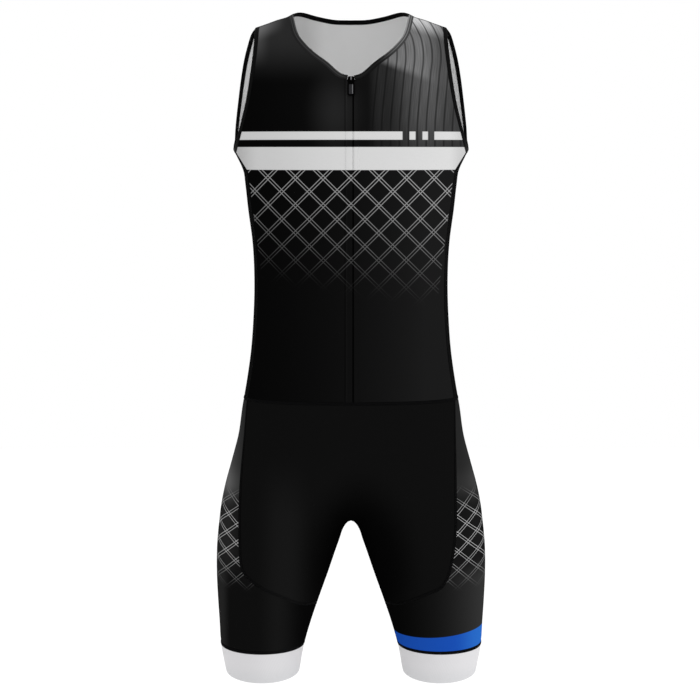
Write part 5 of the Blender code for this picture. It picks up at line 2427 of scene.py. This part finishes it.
    def tape(self, material: Material) -> None:
        """The woven tape behind the fronts.

        Args:
            material: Its finish.
        """
        columns = np.linspace(-self.tape_half, self.tape_half, 9) + self.slit
        behind = self.tape_depth + self.tape_wall
        profile = [(x, -self.tape_depth) for x in columns] + [(x, -behind) for x in columns[::-1]]
        made = self.strip("zip_tape_woven", profile, self.tape_step, material, True)
        dress(made, "zip_tape", "zip_tape")

    def coil(self, material: Material) -> None:
        """The two interlocked rows of the coil, seen in the slit and from inside.

        Args:
            material: Its finish.
        """
        stitches = StitchMesh(thickness=self.tooth_wall)
        heights = self.levels(self.tooth_pitch)
        middle, normals = self.form.front_frame(self.slit, heights)
        for depth in self.tooth_depths:
            centre = middle - normals * depth
            signs = np.where(np.arange(len(heights)) % 2 == 0, 1.0, -1.0)
            across = np.array([self.tooth_reach, 0.0, 0.0]) * signs[:, None]
            lift = normals if depth < self.tape_depth else -normals
            stitches.threads(centre - across * self.tooth_root, centre + across, lift, self.tooth_rise)
        dress(stitches.finish("zip_coil", material), "zip_tape")

    def slider_frame(self) -> Matrix:
        """Where the slider lies: its top on the cloth, with local Y up the zip and Z out of it.

        Returns:
            The frame, from millimetres to metres.
        """
        heights = (self.slider_top - self.slider_length, self.slider_top)
        low, top = (Vector(self.form.at(*self.form.place(0.0, h, Face.FRONT))) for h in heights)
        up = (top - low).normalized()
        out = Vector((1, 0, 0)).cross(up).normalized()
        place = Matrix((Vector((1, 0, 0)), up, out)).transposed().to_4x4()
        place.translation = (top + out * self.stand_off) * MM
        return place @ Matrix.Scale(MM, 4)

    def slider(self, lacquer: Material, bright: Material) -> None:
        """The slider: a waisted plate with softened edges, two lugs and the pin of the pull.

        Args:
            lacquer: The finish of the body.
            bright: The finish of the bridge, pale as a painted glint.
        """
        shape = bmesh.new()
        slab(shape, self.slider_outline, 0.0, self.slider_wall, self.slider_soft)
        height = self.slider_wall + self.pin_out
        for way in (-1, 1):
            at = way * (self.eye_width / 2 + self.lug_away)
            drum(shape, self.lug_radius, self.lug_wall, (at, -self.pin_down, height), self.lug_soft)
            foot = (self.lug_wall, self.lug_width, height - 2 * self.foot_gap)
            block(shape, foot, (at, -self.pin_down, height / 2 + self.foot_gap), self.foot_soft)
        drum(shape, self.pin_radius, self.pin_length, (0.0, -self.pin_down, height), 0.0)
        dress(solid_from(shape, "zip_slider_body", lacquer, self.slider_frame()), "zip_metal", "zip_slider")
        bridge = bmesh.new()
        top = self.slider_wall + self.bridge_height
        slab(bridge, self.bridge_outline, self.slider_wall, top, self.bridge_soft)
        dress(solid_from(bridge, "zip_slider_bridge", bright, self.slider_frame()), "zip_metal")

    def pull(self, lacquer: Material, panel: Material, bright: Material) -> None:
        """The pull tab: a lacquered frame with an inlaid panel and a ridge beside it, whose pale finish is a
        painted glint.

        Args:
            lacquer: The finish of the frame.
            panel: The finish of the panel.
            bright: The finish of the ridge, pale as a painted glint.
        """
        pin = Matrix.Translation((0, -self.pin_down, self.slider_wall + self.pin_out))
        place = self.slider_frame() @ pin @ Matrix.Rotation(math.radians(self.pull_lean), 4, "X")
        half = self.pull_wall / 2
        frame, inlay, ridge = bmesh.new(), bmesh.new(), bmesh.new()
        slab(frame, self.pull_outline, -half, half, self.pull_soft)
        ring(frame, self.eye_radius, self.eye_bore, self.eye_width)
        under, over = self.inlay_walls
        slab(inlay, self.inlay_outline, half - under, half + over, self.inlay_soft)
        slab(ridge, self.ridge_outline, half, half + self.ridge_rise, self.ridge_soft)
        bmesh.ops.translate(ridge, verts=ridge.verts, vec=(self.ridge_across, 0.0, 0.0))
        dress(solid_from(frame, "zip_pull_frame", lacquer, place), "zip_pull", "zip_pull", body="pull_tab")
        dress(solid_from(inlay, "zip_pull_panel", panel, place), "zip_pull", body="pull_tab")
        dress(solid_from(ridge, "zip_pull_ridge", bright, place), "zip_pull", body="pull_tab")


def slab(shape: BMesh, outline: tuple[Pair, ...], low: float, high: float, soft: float) -> None:
    """Adds a plate with a mirrored outline and softened edges.

    Args:
        shape: The mesh to add to.
        outline: Half-widths and places along, from one end to the other.
        low: Height of its underside.
        high: Height of its top.
        soft: Width of the bevel.
    """
    corners = [(-w, y) for w, y in outline] + [(w, y) for w, y in reversed(outline)]
    rings = [[shape.verts.new((x, y, z)) for x, y in corners] for z in (low, high)]
    faces = [shape.faces.new(rings[0][::-1]), shape.faces.new(rings[1])]
    for k in range(len(corners)):
        faces.append(shape.faces.new([rings[0][k - 1], rings[0][k], rings[1][k], rings[1][k - 1]]))
    bmesh.ops.recalc_face_normals(shape, faces=faces)
    edges = list(dict.fromkeys(edge for face in faces for edge in face.edges))
    soften(shape, edges, soft, 3, clamp_overlap=True)


def soften(shape: BMesh, edges: list[BMEdge], soft: float, steps: int, **settings: bool) -> None:
    """Rounds some edges."""
    bmesh.ops.bevel(shape, geom=edges, offset=soft, segments=steps, profile=0.5, affect="EDGES", **settings)


def drum(shape: BMesh, radius: float, length: float, at: Triple, soft: float) -> None:
    """Adds a round bar across the zip.

    Args:
        shape: The mesh to add to.
        radius: Its radius.
        length: Its length.
        at: Its middle.
        soft: Width of the bevel on its rims; 0 for none.
    """
    made = bmesh.ops.create_cone(
        shape, cap_ends=True, segments=28, radius1=radius, radius2=radius, depth=length,
        matrix=Matrix.Translation(at) @ Matrix.Rotation(math.pi / 2, 4, "Y"),
    )
    if soft:
        edges = dict.fromkeys(edge for vert in made["verts"] for edge in vert.link_edges)
        rims = [edge for edge in edges if any(len(face.verts) > 4 for face in edge.link_faces)]
        soften(shape, rims, soft, 2)


def block(shape: BMesh, size: Triple, at: Triple, soft: float) -> None:
    """Adds a block with softened edges.

    Args:
        shape: The mesh to add to.
        size: Its sizes.
        at: Its middle.
        soft: Width of the bevel.
    """
    place = Matrix.Translation(at) @ Matrix.Diagonal((*size, 1.0))
    made = bmesh.ops.create_cube(shape, size=1.0, matrix=place)
    edges = list(dict.fromkeys(edge for vert in made["verts"] for edge in vert.link_edges))
    soften(shape, edges, soft, 2)


def ring(shape: BMesh, radius: float, bore: float, length: float) -> None:
    """Adds the eye of the pull, a short tube across the zip with rounded rims.

    Args:
        shape: The mesh to add to.
        radius: Its outer radius.
        bore: The radius of its hole.
        length: Its length.
    """
    count = 28
    section = (
        (bore, -length / 2), (radius - 0.2, -length / 2), (radius, -length / 2 + 0.2),
        (radius, length / 2 - 0.2), (radius - 0.2, length / 2), (bore, length / 2),
    )
    rings = []
    for k in range(count):
        turn = 2 * math.pi * k / count
        rings.append([shape.verts.new((x, r * math.cos(turn), r * math.sin(turn))) for r, x in section])
    faces = []
    for k in range(count):
        for j in range(len(section)):
            before, after = rings[k - 1], rings[k]
            faces.append(shape.faces.new([before[j - 1], before[j], after[j], after[j - 1]]))
    bmesh.ops.recalc_face_normals(shape, faces=faces)


def solid_from(shape: BMesh, name: str, material: Material, place: Matrix) -> Object:
    """Makes an object of a mesh built in a local frame.

    Args:
        shape: The mesh, which is used up.
        name: The object's name.
        material: Its finish.
        place: The frame that its points are moved to.

    Returns:
        The object.
    """
    bmesh.ops.transform(shape, matrix=place, verts=shape.verts)
    mesh = bpy.data.meshes.new(name)
    shape.to_mesh(mesh)
    shape.free()
    mesh.materials.append(material)
    return shown(mesh, 35.0)


# ---- studio -------------------------------------------------------------------------------------
@dataclass(frozen=True)
class Studio:
    """A white seamless studio with soft light, and the camera."""

    eye: Triple = (-0.00145, -3.3, -0.19)
    aim: Triple = (-0.00145, 0.0, -0.477)
    lens: float = 117.486
    floor_level: float = -1410.0
    floor_half: float = 6000.0
    lit: Triple = (0.0, 0.0, -0.4)

    def set_up(self) -> None:
        """Makes the backdrop, the light and the camera."""
        scene = bpy.context.scene
        scene.view_settings.view_transform = "Standard"
        world = bpy.data.worlds.new("white_studio")
        world.use_nodes = True
        world.node_tree.nodes["Background"].inputs["Color"].default_value = (1.0, 1.0, 1.0, 1.0)
        world.node_tree.nodes["Background"].inputs["Strength"].default_value = 1.0
        scene.world = world
        camera = bpy.data.cameras.new("camera")
        camera.lens = self.lens
        camera.sensor_width = 36.0
        camera.clip_start, camera.clip_end = 0.05, 50.0
        scene.camera = bpy.data.objects.new("camera", camera)
        self.aimed(scene.camera, self.eye, self.aim)
        self.floor()
        self.lamp("top_softbox", (0.2, -0.6, 1.3), 1.2, 4.0)
        self.lamp("left_softbox", (2.2, -0.9, -0.2), 1.4, 12.0)

    def aimed(self, made: Object, at: Triple, target: Triple) -> None:
        """Puts a camera or a lamp in the scene, turned to a target.

        Args:
            made: The camera or lamp.
            at: Its place.
            target: What it looks at.
        """
        made.location = at
        made.rotation_mode = "QUATERNION"
        made.rotation_quaternion = (Vector(target) - Vector(at)).to_track_quat("-Z", "Y")
        bpy.context.scene.collection.objects.link(made)

    def floor(self) -> None:
        """A seamless white floor, bright enough to run into the backdrop."""
        tree = ShaderTree("white_seamless_paper")
        tree.finish(Base_Color=linear("#f4f4f4"), Roughness=0.9, Specular_IOR_Level=0.0)
        tree.finish(Emission_Color=(1.0, 1.0, 1.0, 1.0), Emission_Strength=0.16)
        half, level = self.floor_half, self.floor_level
        corners = [(-half, -half, level), (half, -half, level), (half, half, level), (-half, half, level)]
        mesh_object("floor", np.array(corners), [[0, 1, 2, 3]], [tree.material])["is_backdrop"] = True

    def lamp(self, name: str, at: Triple, size: float, watts: float) -> None:
        """Adds a softbox that faces the suit.

        Args:
            name: Its name.
            at: Its place, in metres.
            size: Its side, in metres.
            watts: Its power.
        """
        light = bpy.data.lights.new(name, "AREA")
        light.size = size
        light.energy = watts
        self.aimed(bpy.data.objects.new(name, light), at, self.lit)


def write_size(before: tuple[Vector, Vector]) -> None:
    """Args:
        before: The solids' lowest and highest corners.
    """
    boxes = {"cad": [list(corner) for corner in before], "visual": [list(corner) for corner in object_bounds()]}


def main() -> None:
    """Builds the dressed suit and its studio."""
    logging.basicConfig(level=logging.INFO, format="%(message)s")
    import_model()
    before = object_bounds()
    Studio().set_up()

    plain = Jersey()
    jersey, reverse = plain.make(), Reverse().make()
    chest = ChestPrint(cloth=Jersey("black_jersey_fronts", "#020202", "#040404")).make()
    finishes = {
        "chest": chest,
        "plain": jersey,
        "leg": LegPrint(Side.RIGHT, cloth=plain).make(),
        "leg_banded": LegPrint(Side.LEFT, cloth=plain).make(),
        "cuff": GripperKnit().make(),
    }
    thread = Thread("black_polyester_thread", "#161617").make()
    seam = Jersey("black_jersey_seam_ridge", "#060606", "#080808").make()
    tape, printed_tape = EdgeTape(False).make(), EdgeTape(True).make()

    form = BodyForm()
    cloth = Cloth(Pattern(form))
    cloth.lay_out()
    for piece in CLOTH_PIECES:
        inner = finishes["cuff"] if piece.finish == "cuff" else reverse
        made = cloth.cut(piece.node, finishes[piece.finish], inner)
        dress(made, piece.slot, piece.node)
        flat = piece.flat
        flat.width
        flat.length
        [f"{n}_cloth" for n in piece.rests_on]
        flat.area
    Sewing(cloth).sew(seam, thread)
    Bindings(cloth).bind(tape, printed_tape, thread)

    zip_front = FrontZip(form)
    for side in Side:
        zip_front.fold(side, chest)
    zip_front.topstitch(chest)
    zip_front.tape(WovenTape().make())
    zip_front.coil(Thread("moulded_nylon_coil", "#020202").make())
    lacquer = Lacquer("stoved_black_lacquer", "#000000", "#020202", 0.35, gloss=0.015)
    panel = Lacquer("satin_gunmetal_lacquer", "#232325", "#2b2b2d", 0.4)
    # The pale lacquer of the slider's bridge and the pull's ridge is a painted glint.
    bright = Lacquer("rubbed_lacquer_ridge", "#6a6a6c", "#7a7a7c", 0.4)
    black, ridge = lacquer.make(), bright.make()
    zip_front.slider(black, ridge)
    zip_front.pull(black, panel.make(), ridge)
    write_size(before)


if __name__ == "__main__":
    main()
